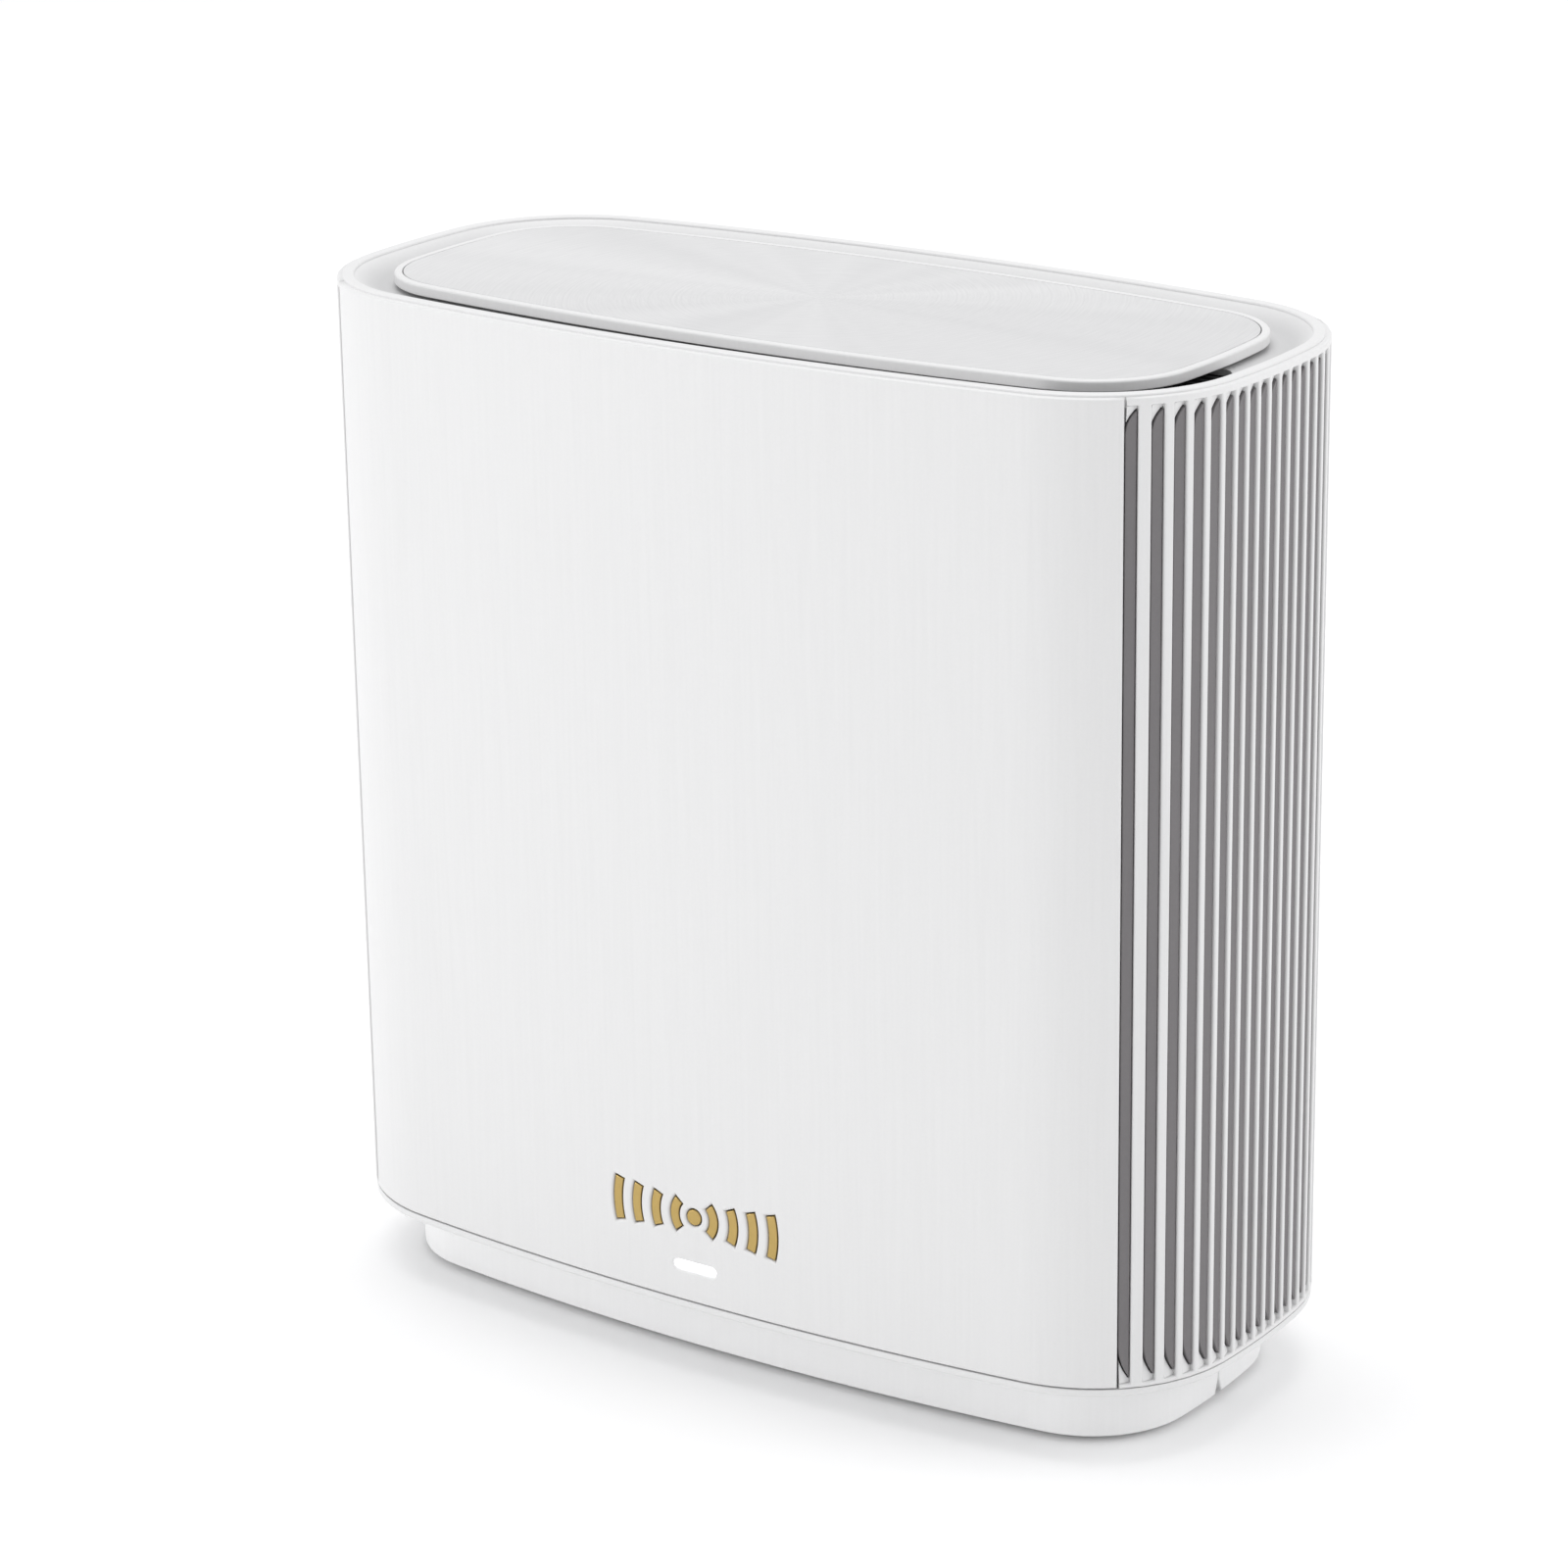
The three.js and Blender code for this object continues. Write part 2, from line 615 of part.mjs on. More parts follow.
function lidFrame() {
  const plateBed = HEIGHT - LID_PLATE_THICKNESS - FIT_GAP;
  const pocket = slab(LID_INSET + LID_BORDER, plateBed, HEIGHT + PAST);
  let frame = slab(LID_INSET, lidUnderside, HEIGHT).subtract(pocket);
  const postLow = deckUnderside + LID_POST_SEAT + FIT_GAP;
  for (const x of lidPostX) {
    frame = frame.add(bar('z', [x, 0], postLow, lidUnderside + WELD, LID_POST_RADIUS));
    frame = frame.subtract(bar('z', [x, 0], 0, lidUnderside, SCREW_SHANK + FIT_GAP));
  }
  return frame;
}

function lidPlate() {
  return slab(LID_INSET + LID_BORDER + FIT_GAP, HEIGHT - LID_PLATE_THICKNESS, HEIGHT);
}

// ---------------------------------------------------------------- screws

// A pan-head screw. The head sits below its seat and the shank points up, for a seat looking down.
function screwUp(x, y, seat, length) {
  const head = bar('z', [x, y], seat - SCREW_HEAD_HEIGHT, seat, SCREW_HEAD);
  const shank = bar('z', [x, y], seat - WELD, seat + length, SCREW_SHANK, 8);
  const face = seat - SCREW_HEAD_HEIGHT;
  const slot = box(
    [x - SCREW_HEAD, y - SCREW_SLOT / 2, face - PAST],
    [x + SCREW_HEAD, y + SCREW_SLOT / 2, face + SCREW_SLOT_DEPTH],
  );
  return head.add(shank).subtract(slot);
}

// ---------------------------------------------------------------- plinth, bottom, feet, base

function plinthHalf(front) {
  const start = front ? -quarterLength : quarterLength;
  const from = start + seamGap;
  const to = start + 2 * quarterLength - seamGap;
  const wall = wallSector(from, to, PLINTH_INSET, PLINTH_INSET + PLINTH_WALL, FOOT_STANDOFF, plinthTop);
  let half = wall;
  for (const side of [-1, 1]) {
    const geometry = new THREE.BoxGeometry(4 * PLINTH_WALL, PLINTH_NOTCH, PLINTH_NOTCH);
    geometry.rotateX(Math.PI / 4);
    geometry.translate(side * (WIDTH / 2 - PLINTH_INSET), 0, FOOT_STANDOFF);
    half = half.subtract(toSolid(geometry));
  }
  return half;
}

function bottomPlate() {
  let plate = slab(PLINTH_INSET + PLINTH_WALL + FIT_GAP, FOOT_STANDOFF, bottomTop);
  for (const place of footPlaces) {
    const top = FOOT_STANDOFF + FOOT_POCKET;
    plate = plate.subtract(bar('z', place, 0, top, FOOT_RADIUS + FIT_GAP, ROUND_SIDES));
  }
  for (const x of caseScrewX) {
    for (const y of [-caseScrewY, caseScrewY]) {
      plate = plate.add(bar('z', [x, y], bottomTop - WELD, plinthTop, SCREW_HEAD + SCREW_BOSS));
      plate = plate.subtract(bar('z', [x, y], 0, HEIGHT, SCREW_SHANK + FIT_GAP));
      plate = plate.subtract(bar('z', [x, y], 0, bottomTop, SCREW_HEAD + FIT_GAP));
    }
  }
  const slots = [];
  for (let index = 0; index < INTAKE_COUNT; index += 1) {
    const x = INTAKE_PITCH * (index - (INTAKE_COUNT - 1) / 2);
    for (const side of [-1, 1]) {
      const nearButton = Math.abs(Math.abs(x) - Math.abs(WPS_X)) < WPS_CAP_RADIUS + INTAKE_RIB;
      const nearScrew = Math.abs(Math.abs(x) - CASE_SCREW_X) < SCREW_HEAD + INTAKE_RIB;
      const from = nearButton ? WPS_CAP_RADIUS + INTAKE_RIB : INTAKE_START;
      const to = nearScrew ? caseScrewY - SCREW_HEAD - INTAKE_RIB : from + INTAKE_LENGTH;
      const ends = [side * from, side * to].sort((a, b) => a - b);
      slots.push(box([x - INTAKE_WIDTH / 2, ends[0], 0], [x + INTAKE_WIDTH / 2, ends[1], bottomTop + WELD]));
    }
  }
  plate = plate.subtract(union(slots));
  plate = plate.subtract(bar('z', [WPS_X, 0], 0, bottomTop + PAST, WPS_CAP_RADIUS + FIT_GAP, ROUND_SIDES));
  return plate.subtract(bar('z', [RESET_X, 0], 0, bottomTop + PAST, RESET_CAP_RADIUS + FIT_GAP, 16));
}

function foot(place) {
  return bar('z', place, 0, FOOT_STANDOFF + FOOT_POCKET - FIT_GAP, FOOT_RADIUS, ROUND_SIDES);
}

function baseDeck() {
  let deck = slab(innerInset, BODY_BOTTOM, baseTop);
  for (const x of caseScrewX) {
    for (const y of [-caseScrewY, caseScrewY]) {
      deck = deck.subtract(bar('z', [x, y], 0, HEIGHT, SCREW_SHANK + FIT_GAP, 12));
    }
  }
  const vents = [];
  for (let index = 0; index < BASE_VENT_COUNT; index += 1) {
    const x = BASE_VENT_PITCH * (index - (BASE_VENT_COUNT - 1) / 2);
    const half = BASE_VENT_WIDTH / 2;
    vents.push(box([x - half, -BASE_VENT_FAR, 0], [x + half, -BASE_VENT_NEAR, HEIGHT]));
  }
  return deck.subtract(union(vents));
}

// ---------------------------------------------------------------- rear port bay

const bayFloorBack = DEPTH / 2 - BAY_DEPTH;
const bayFloorFace = bayFloorBack + BAY_WALL;
const bayMiddle = BAY_LOW + BAY_HEIGHT / 2;

// The row of ports is built up from the first network jack, by widths and named gaps.
const jackX = Array.from({ length: JACK_COUNT }, (_, index) => JACK_FIRST_X + (JACK_WIDTH + JACK_GAP) * index);
const usbX = JACK_FIRST_X - JACK_WIDTH / 2 - USB_TO_JACK - USB_WIDTH / 2;
const powerX = usbX - USB_WIDTH / 2 - POWER_TO_USB - POWER_CAP_RADIUS;
const inletX = powerX - POWER_CAP_RADIUS - INLET_TO_POWER - INLET_SIZE / 2;
const bayHalfWidth = jackX[JACK_COUNT - 1] + JACK_WIDTH / 2 + BAY_END_MARGIN + BAY_WALL;

function opening(x, halfWidth, halfHeight) {
  const low = [x - halfWidth - FIT_GAP, 0, bayMiddle - halfHeight - FIT_GAP];
  const high = [x + halfWidth + FIT_GAP, DEPTH, bayMiddle + halfHeight + FIT_GAP];
  return box(low, high);
}

function portBay() {
  const outer = box([-bayHalfWidth, bayFloorBack, BAY_LOW], [bayHalfWidth, DEPTH, BAY_LOW + BAY_HEIGHT]);
  const inner = box(
    [-bayHalfWidth + BAY_WALL, bayFloorFace, BAY_LOW + BAY_WALL],
    [bayHalfWidth - BAY_WALL, DEPTH, BAY_LOW + BAY_HEIGHT - BAY_WALL],
  );
  let bay = outer.subtract(inner).intersect(slab(BAY_RECESS, 0, HEIGHT));
  for (const x of jackX) bay = bay.subtract(opening(x, JACK_WIDTH / 2, JACK_HEIGHT / 2));
  bay = bay.subtract(opening(usbX, USB_WIDTH / 2, USB_HEIGHT / 2));
  bay = bay.subtract(opening(inletX, INLET_SIZE / 2, INLET_SIZE / 2));
  return bay.subtract(bar('y', [powerX, bayMiddle], 0, DEPTH, POWER_CAP_RADIUS + FIT_GAP, ROUND_SIDES));
}

function jack(x) {
  const back = BOARD_Y + BOARD_THICKNESS + FIT_GAP;
  const low = bayMiddle - JACK_HEIGHT / 2;
  const body = box([x - JACK_WIDTH / 2, back, low], [x + JACK_WIDTH / 2, bayFloorFace, low + JACK_HEIGHT]);
  const socketLow = low + SOCKET_FLOOR;
  const socket = box(
    [x - SOCKET_WIDTH / 2, bayFloorFace - SOCKET_DEPTH, socketLow],
    [x + SOCKET_WIDTH / 2, DEPTH, socketLow + SOCKET_HEIGHT],
  );
  const latch = box(
    [x - LATCH_WIDTH / 2, bayFloorFace - SOCKET_DEPTH, socketLow + PAST],
    [x + LATCH_WIDTH / 2, DEPTH, socketLow + SOCKET_HEIGHT + LATCH_RISE],
  );
  return body.subtract(socket).subtract(latch);
}

function usbPort() {
  const back = BOARD_Y + BOARD_THICKNESS + FIT_GAP;
  const halfWidth = USB_WIDTH / 2;
  const halfHeight = USB_HEIGHT / 2;
  const shell = box(
    [usbX - halfWidth, back, bayMiddle - halfHeight],
    [usbX + halfWidth, bayFloorFace, bayMiddle + halfHeight],
  );
  const inside = box(
    [usbX - halfWidth + USB_SHELL, back + USB_BACK, bayMiddle - halfHeight + USB_SHELL],
    [usbX + halfWidth - USB_SHELL, DEPTH, bayMiddle + halfHeight - USB_SHELL],
  );
  const tongue = box(
    [usbX - halfWidth + USB_SHELL + TONGUE_MARGIN, back + USB_BACK - PAST, bayMiddle + TONGUE_LOW],
    [usbX + halfWidth - USB_SHELL - TONGUE_MARGIN, bayFloorFace - PAST, bayMiddle + TONGUE_LOW + TONGUE_THICKNESS],
  );
  return shell.subtract(inside).add(tongue);
}

function powerInlet() {
  const back = BOARD_Y + BOARD_THICKNESS + FIT_GAP;
  const half = INLET_SIZE / 2;
  const body = box([inletX - half, back, bayMiddle - half], [inletX + half, bayFloorFace, bayMiddle + half]);
  const bore = bar('y', [inletX, bayMiddle], bayFloorFace - INLET_DEPTH, DEPTH, INLET_BORE, ROUND_SIDES);
  const root = bayFloorFace - INLET_DEPTH - PAST;
  const pin = bar('y', [inletX, bayMiddle], root, bayFloorFace - PAST, INLET_PIN, 12);
  return body.subtract(bore).add(pin);
}

const switchFace = BOARD_Y + BOARD_THICKNESS + FIT_GAP + SWITCH_DEPTH;

function powerSwitch() {
  const back = BOARD_Y + BOARD_THICKNESS + FIT_GAP;
  const half = SWITCH_SIZE / 2;
  const body = box([powerX - half, back, bayMiddle - half], [powerX + half, switchFace, bayMiddle + half]);
  return body.subtract(bar('y', [powerX, bayMiddle], switchFace - SWITCH_WELL, DEPTH, KEY_STEM_RADIUS + FIT_GAP, 16));
}

function powerButton() {
  const place = [powerX, bayMiddle];
  const flangeFace = bayFloorBack - FIT_GAP;
  const capFace = bayFloorFace + POWER_CAP_PROUD;
  const cap = bar('y', place, flangeFace - WELD, capFace, POWER_CAP_RADIUS, ROUND_SIDES);
  const flangeRadius = POWER_CAP_RADIUS + POWER_FLANGE_GROWTH;
  const flange = bar('y', place, flangeFace - POWER_FLANGE, flangeFace, flangeRadius, ROUND_SIDES);
  const stem = bar('y', place, switchFace - STEM_REACH, flangeFace, KEY_STEM_RADIUS, 16);
  return cap.add(flange).add(stem);
}

// ---------------------------------------------------------------- underside buttons

const keyBoardLow = plinthTop - KEY_BOARD_DROP;
const keySwitchLow = keyBoardLow - FIT_GAP - KEY_SWITCH_HEIGHT;

function keyBoard() {
  const low = [WPS_X - KEY_BOARD_MARGIN, -KEY_BOARD_HALF_DEPTH, keyBoardLow];
  const high = [RESET_X + KEY_BOARD_MARGIN, KEY_BOARD_HALF_DEPTH, keyBoardLow + KEY_BOARD_THICKNESS];
  return box(low, high);
}

function keySwitch(x) {
  const half = KEY_SWITCH_SIZE / 2;
  const body = box([x - half, -half, keySwitchLow], [x + half, half, keyBoardLow - FIT_GAP]);
  const wellTop = keySwitchLow + KEY_SWITCH_WELL;
  return body.subtract(bar('z', [x, 0], keySwitchLow - PAST, wellTop, KEY_STEM_RADIUS + FIT_GAP, 16));
}

function keyCap(x, radius, low) {
  const flangeLow = bottomTop + FIT_GAP;
  const cap = bar('z', [x, 0], low, flangeLow + WELD, radius, ROUND_SIDES);
  const flangeTop = flangeLow + KEY_FLANGE_THICKNESS;
  const flange = bar('z', [x, 0], flangeLow, flangeTop, radius + KEY_FLANGE_GROWTH, ROUND_SIDES);
  const stem = bar('z', [x, 0], flangeLow, keySwitchLow + KEY_STEM_REACH, KEY_STEM_RADIUS, 16);
  return cap.add(flange).add(stem);
}

// ---------------------------------------------------------------- boards, cooling, frame, antennas

function mainBoard() {
  let board = box([-boardHalf, BOARD_Y, BOARD_LOW], [boardHalf, boardBack, boardHigh]);
  for (const x of boardScrewX) {
    for (const z of boardScrewZ) board = board.subtract(bar('y', [x, z], 0, DEPTH, SCREW_SHANK + FIT_GAP, 12));
  }
  return board;
}

function boardScrew(x, z) {
  const seat = boardBack + FIT_GAP;
  const head = bar('y', [x, z], seat, seat + SCREW_HEAD_HEIGHT, SCREW_HEAD);
  const shank = bar('y', [x, z], BOARD_Y - BOARD_SCREW_LENGTH, seat + WELD, SCREW_SHANK, 8);
  const face = seat + SCREW_HEAD_HEIGHT;
  const slot = box(
    [x - SCREW_HEAD, face - SCREW_SLOT_DEPTH, z - SCREW_SLOT / 2],
    [x + SCREW_HEAD, face + PAST, z + SCREW_SLOT / 2],
  );
  return head.add(shank).subtract(slot);
}

const shieldHigh = boardHigh - SHIELD_TOP_MARGIN;
const sinkHigh = boardHigh - SINK_TOP_MARGIN;

// A slab that stands off the front or the rear of the board, with its near face at some distance from it.
function onBoard(side, distance, thickness, half, low, high) {
  const face = side < 0 ? BOARD_Y : boardBack;
  const ends = [face + side * distance, face + side * (distance + thickness)].sort((a, b) => a - b);
  return box([-half, ends[0], low], [half, ends[1], high]);
}

const padDistance = 2 * FIT_GAP + SHIELD_HEIGHT;
const sinkDistance = padDistance + PAD_THICKNESS + FIT_GAP;

function shield(side) {
  return onBoard(side, FIT_GAP, SHIELD_HEIGHT, SHIELD_HALF_WIDTH, SHIELD_LOW, shieldHigh);
}

function thermalPad(side) {
  const half = SHIELD_HALF_WIDTH - PAD_MARGIN;
  return onBoard(side, padDistance, PAD_THICKNESS, half, SHIELD_LOW + PAD_MARGIN, shieldHigh - PAD_MARGIN);
}

function heatSink(side) {
  const half = boardHalf - SINK_SIDE_MARGIN;
  const parts = [onBoard(side, sinkDistance, SINK_BASE, half, SINK_LOW, sinkHigh)];
  const root = sinkDistance + SINK_BASE - WELD;
  const halfFin = SINK_FIN_THICKNESS / 2;
  for (const middle of spread(half - halfFin, SINK_FIN_COUNT)) {
    const fin = onBoard(side, root, SINK_FIN + WELD, halfFin, SINK_LOW, sinkHigh);
    parts.push(fin.translate([middle, 0, 0]));
  }
  return union(parts);
}

// The inner frame is one moulding: two rails with a top and a bottom bar, in front of the board,
// and arms that reach out to the antennas.
function innerFrame() {
  const front = BOARD_Y - FIT_GAP - RAIL_DEPTH;
  const back = BOARD_Y - FIT_GAP;
  const low = baseTop + FIT_GAP;
  const high = deckUnderside - SCREW_HEAD_HEIGHT - 2 * FIT_GAP;
  const parts = [];
  for (const side of [-1, 1]) {
    const [from, to] = [side * (boardHalf - RAIL_OVERLAP), side * railX].sort((a, b) => a - b);
    const [edge, outside] = [side * (railX - RAIL_WIDTH), side * railX].sort((a, b) => a - b);
    parts.push(box([from, back - RAIL_WIDTH, low], [to, back, high]));
    parts.push(box([edge, front, low], [outside, back, high]));
  }
  parts.push(box([-railX, back - RAIL_WIDTH, high - FRAME_BAR], [railX, back, high]));
  parts.push(box([-railX, back - RAIL_WIDTH, low], [railX, back, low + FRAME_BAR]));
  const reach = antennaY - ANTENNA_BOARD / 2 - ANTENNA_ELEMENT - FIT_GAP;
  for (const side of [-1, 1]) {
    const ends = [side * (railX - ANTENNA_ARM), side * railX].sort((a, b) => a - b);
    for (const z of [antennaLow + ANTENNA_ARM, antennaHigh - 2 * ANTENNA_ARM]) {
      parts.push(box([ends[0], -reach, z], [ends[1], reach, z + ANTENNA_ARM]));
    }
  }
  let frame = union(parts);
  for (const x of boardScrewX) {
    for (const z of boardScrewZ) frame = frame.subtract(bar('y', [x, z], -DEPTH, DEPTH, SCREW_SHANK + FIT_GAP, 12));
  }
  return frame;
}

// An antenna is a thin board standing on edge near a corner, with a metal element on both faces.
function antenna(x, y) {
  const half = ANTENNA_WIDTH / 2;
  const face = ANTENNA_BOARD / 2;
  const blade = box([x - half, y - face, antennaLow], [x + half, y + face, antennaHigh]);
  const raised = face + ANTENNA_ELEMENT;
  const element = box(
    [x - half + ELEMENT_MARGIN, y - raised, antennaLow + 4 * ELEMENT_MARGIN],
    [x + half - ELEMENT_MARGIN, y + raised, antennaHigh - 2 * ELEMENT_MARGIN],
  );
  return blade.add(element);
}

function lightBoard() {
  const chipFace = -DEPTH / 2 + innerInset + LIGHT_FLANGE + 3 * FIT_GAP;
  const front = chipFace + LIGHT_CHIP_HEIGHT;
  const plate = box(
    [-LIGHT_BOARD_HALF_WIDTH, front, LIGHT_HEIGHT - LIGHT_BOARD_HALF_HEIGHT],
    [LIGHT_BOARD_HALF_WIDTH, front + LIGHT_BOARD_THICKNESS, LIGHT_HEIGHT + LIGHT_BOARD_HALF_HEIGHT],
  );
  const chip = box(
    [-LIGHT_CHIP_HALF, chipFace, LIGHT_HEIGHT - LIGHT_CHIP_HALF],
    [LIGHT_CHIP_HALF, front + WELD, LIGHT_HEIGHT + LIGHT_CHIP_HALF],
  );
  return plate.add(chip);
}

// ---------------------------------------------------------------- assembly

function mirrorX(solid) {
  const mesh = solid.getMesh();
  const vertProperties = mesh.vertProperties.slice();
  for (let index = 0; index < vertProperties.length; index += 3) vertProperties[index] *= -1;
  const triVerts = mesh.triVerts.slice();
  for (let index = 0; index < triVerts.length; index += 3) {
    [triVerts[index], triVerts[index + 1]] = [triVerts[index + 1], triVerts[index]];
  }
  return new wasm.Manifold(new wasm.Mesh({ numProp: 3, vertProperties, triVerts }));
}

addPiece('front_cover', frontCover(), satinWhite);
addPiece('rear_cover', rearCover(), satinWhite);
const rightGrille = grilleRight();
addPiece('side_grille_right', rightGrille, satinWhite);
addPiece('side_grille_left', mirrorX(rightGrille), satinWhite);
const rightLiner = linerRight();
addPiece('grille_liner_right', rightLiner, linerGrey);
addPiece('grille_liner_left', mirrorX(rightLiner), linerGrey);
addPiece('top_deck', topDeck(), satinWhite);
addPiece('lid_frame', lidFrame(), satinWhite);
addPiece('lid_plate', lidPlate(), lidWhite);
lidPostX.forEach((x, index) => {
  addPiece(`lid_screw_${index + 1}`, screwUp(x, 0, deckUnderside - FIT_GAP, LID_SCREW_LENGTH), steel);
});
addPiece('front_mark', markPlate(), gold);
addPiece('light_guide', lightGuide(), lightWhite);
addPiece('light_board', lightBoard(), boardGreen);

addPiece('plinth_front', plinthHalf(true), satinWhite);
addPiece('plinth_rear', plinthHalf(false), satinWhite);
addPiece('bottom_plate', bottomPlate(), satinWhite);
addPiece('base_deck', baseDeck(), satinWhite);
footPlaces.forEach((place, index) => addPiece(`foot_${index + 1}`, foot(place), rubberGrey));
const caseScrewPlaces = caseScrewX.flatMap((x) => [[x, -caseScrewY], [x, caseScrewY]]);
const caseScrewLength = baseTop - bottomTop + CASE_SCREW_BITE;
caseScrewPlaces.forEach(([x, y], index) => {
  addPiece(`case_screw_${index + 1}`, screwUp(x, y, bottomTop - FIT_GAP, caseScrewLength), steel);
});

addPiece('port_bay', portBay(), bayGrey);
const jackNames = ['wan_jack', 'lan_jack_1', 'lan_jack_2', 'lan_jack_3'];
jackX.forEach((x, index) => addPiece(jackNames[index], jack(x), blackPlastic));
addPiece('usb_port', usbPort(), tinplate);
addPiece('power_inlet', powerInlet(), blackPlastic);
addPiece('power_switch', powerSwitch(), blackPlastic);
addPiece('power_button', powerButton(), blackPlastic);

addPiece('key_board', keyBoard(), boardGreen);
addPiece('pairing_switch', keySwitch(WPS_X), blackPlastic);
addPiece('reset_switch', keySwitch(RESET_X), blackPlastic);
addPiece('pairing_button', keyCap(WPS_X, WPS_CAP_RADIUS, FOOT_STANDOFF), lidWhite);
addPiece('reset_button', keyCap(RESET_X, RESET_CAP_RADIUS, FOOT_STANDOFF + RESET_RECESS), blackPlastic);

addPiece('main_board', mainBoard(), boardGreen);
addPiece('inner_frame', innerFrame(), blackPlastic);
addPiece('front_shield', shield(-1), tinplate);
addPiece('rear_shield', shield(1), tinplate);
addPiece('front_thermal_pad', thermalPad(-1), padBlue);
addPiece('rear_thermal_pad', thermalPad(1), padBlue);
addPiece('front_heat_sink', heatSink(-1), aluminium);
addPiece('rear_heat_sink', heatSink(1), aluminium);
boardScrewX.flatMap((x) => boardScrewZ.map((z) => [x, z])).forEach(([x, z], index) => {
  addPiece(`board_screw_${index + 1}`, boardScrew(x, z), steel);
});
const antennaPlaces = [[-antennaX, -antennaY], [-antennaX, antennaY], [antennaX, -antennaY], [antennaX, antennaY]];
antennaPlaces.forEach(([x, y], index) => addPiece(`antenna_${index + 1}`, antenna(x, y), copper));

export default assembly;
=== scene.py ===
# %% [markdown]
# # An upright wireless router
# The router is a slim white box that stands on edge. Its outside is made of a few moulded
# pieces: two bowed covers, two slotted side grilles, a rim with a lid that floats inside it,
# and a plinth set back under the body. This file builds the looks of each piece around the
# measured frame, one cell at a time, so a reader can stop after any cell and look.

import math

import bpy
import numpy as np
from mathutils import Matrix, Vector
from mathutils.geometry import delaunay_2d_cdt


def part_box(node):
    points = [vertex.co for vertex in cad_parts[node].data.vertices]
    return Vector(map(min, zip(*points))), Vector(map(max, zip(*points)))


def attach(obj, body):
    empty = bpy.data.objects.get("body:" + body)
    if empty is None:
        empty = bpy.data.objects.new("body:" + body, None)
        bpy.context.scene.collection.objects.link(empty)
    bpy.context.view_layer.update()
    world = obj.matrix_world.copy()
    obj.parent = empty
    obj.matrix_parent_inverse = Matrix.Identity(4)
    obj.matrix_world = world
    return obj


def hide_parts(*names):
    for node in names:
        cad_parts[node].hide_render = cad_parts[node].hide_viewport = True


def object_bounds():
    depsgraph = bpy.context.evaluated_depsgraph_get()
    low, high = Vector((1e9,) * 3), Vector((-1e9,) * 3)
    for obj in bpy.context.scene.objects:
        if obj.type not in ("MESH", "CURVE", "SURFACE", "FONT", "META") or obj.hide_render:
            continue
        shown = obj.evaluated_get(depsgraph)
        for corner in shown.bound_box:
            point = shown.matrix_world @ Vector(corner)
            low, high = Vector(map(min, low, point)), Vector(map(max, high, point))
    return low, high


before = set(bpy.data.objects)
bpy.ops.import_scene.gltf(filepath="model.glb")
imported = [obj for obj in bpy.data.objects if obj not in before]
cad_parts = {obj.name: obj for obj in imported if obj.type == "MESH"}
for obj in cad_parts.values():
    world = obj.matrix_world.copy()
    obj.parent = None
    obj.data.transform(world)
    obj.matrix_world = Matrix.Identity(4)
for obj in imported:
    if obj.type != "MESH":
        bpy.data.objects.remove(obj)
cad_box = [list(corner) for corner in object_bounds()]
print("frame nodes:", len(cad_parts), "box:", cad_box)

# %% [markdown]
# Everything is worked out in millimetres, as a maker would, and turned into Blender's metres
# only when a mesh is made. The few sizes that other sizes depend on stand here; the rest come
# from the frame's own boxes.

# %% Driving sizes
MM = 0.001
GAP = 0.3
WALL = 2.0
FRONT_RADIUS = 480.0
CORNER_RADIUS = 25.0
END_RADIUS = 140.0
EDGE_ROUND = 0.45


def box_mm(node):
    """The lowest and highest corner of a frame node, in millimetres."""
    low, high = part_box(node)
    return [value / MM for value in low], [value / MM for value in high]


width = (cad_box[1][0] - cad_box[0][0]) / MM
depth = (cad_box[1][1] - cad_box[0][1]) / MM
top = cad_box[1][2] / MM
body_low = box_mm("front_cover")[0][2]
cover_top = box_mm("front_cover")[1][2]
LIP_TOP = body_low + 1.25
SEAM = 0.11
print("body %.1f x %.1f x %.1f mm, covers from %.1f to %.1f" % (width, depth, top, body_low, cover_top))

# %% [markdown]
# Seen from above, the body's outline is four gentle bows joined by four tight corners. All the
# walls, the rim, the lid and the plinth follow this one line, moved inwards by some amount. So
# it is written once: give how far round you are and how far in, and get the point and the
# direction that faces out. Round arcs, rather than a freehand curve, keep every offset exact.

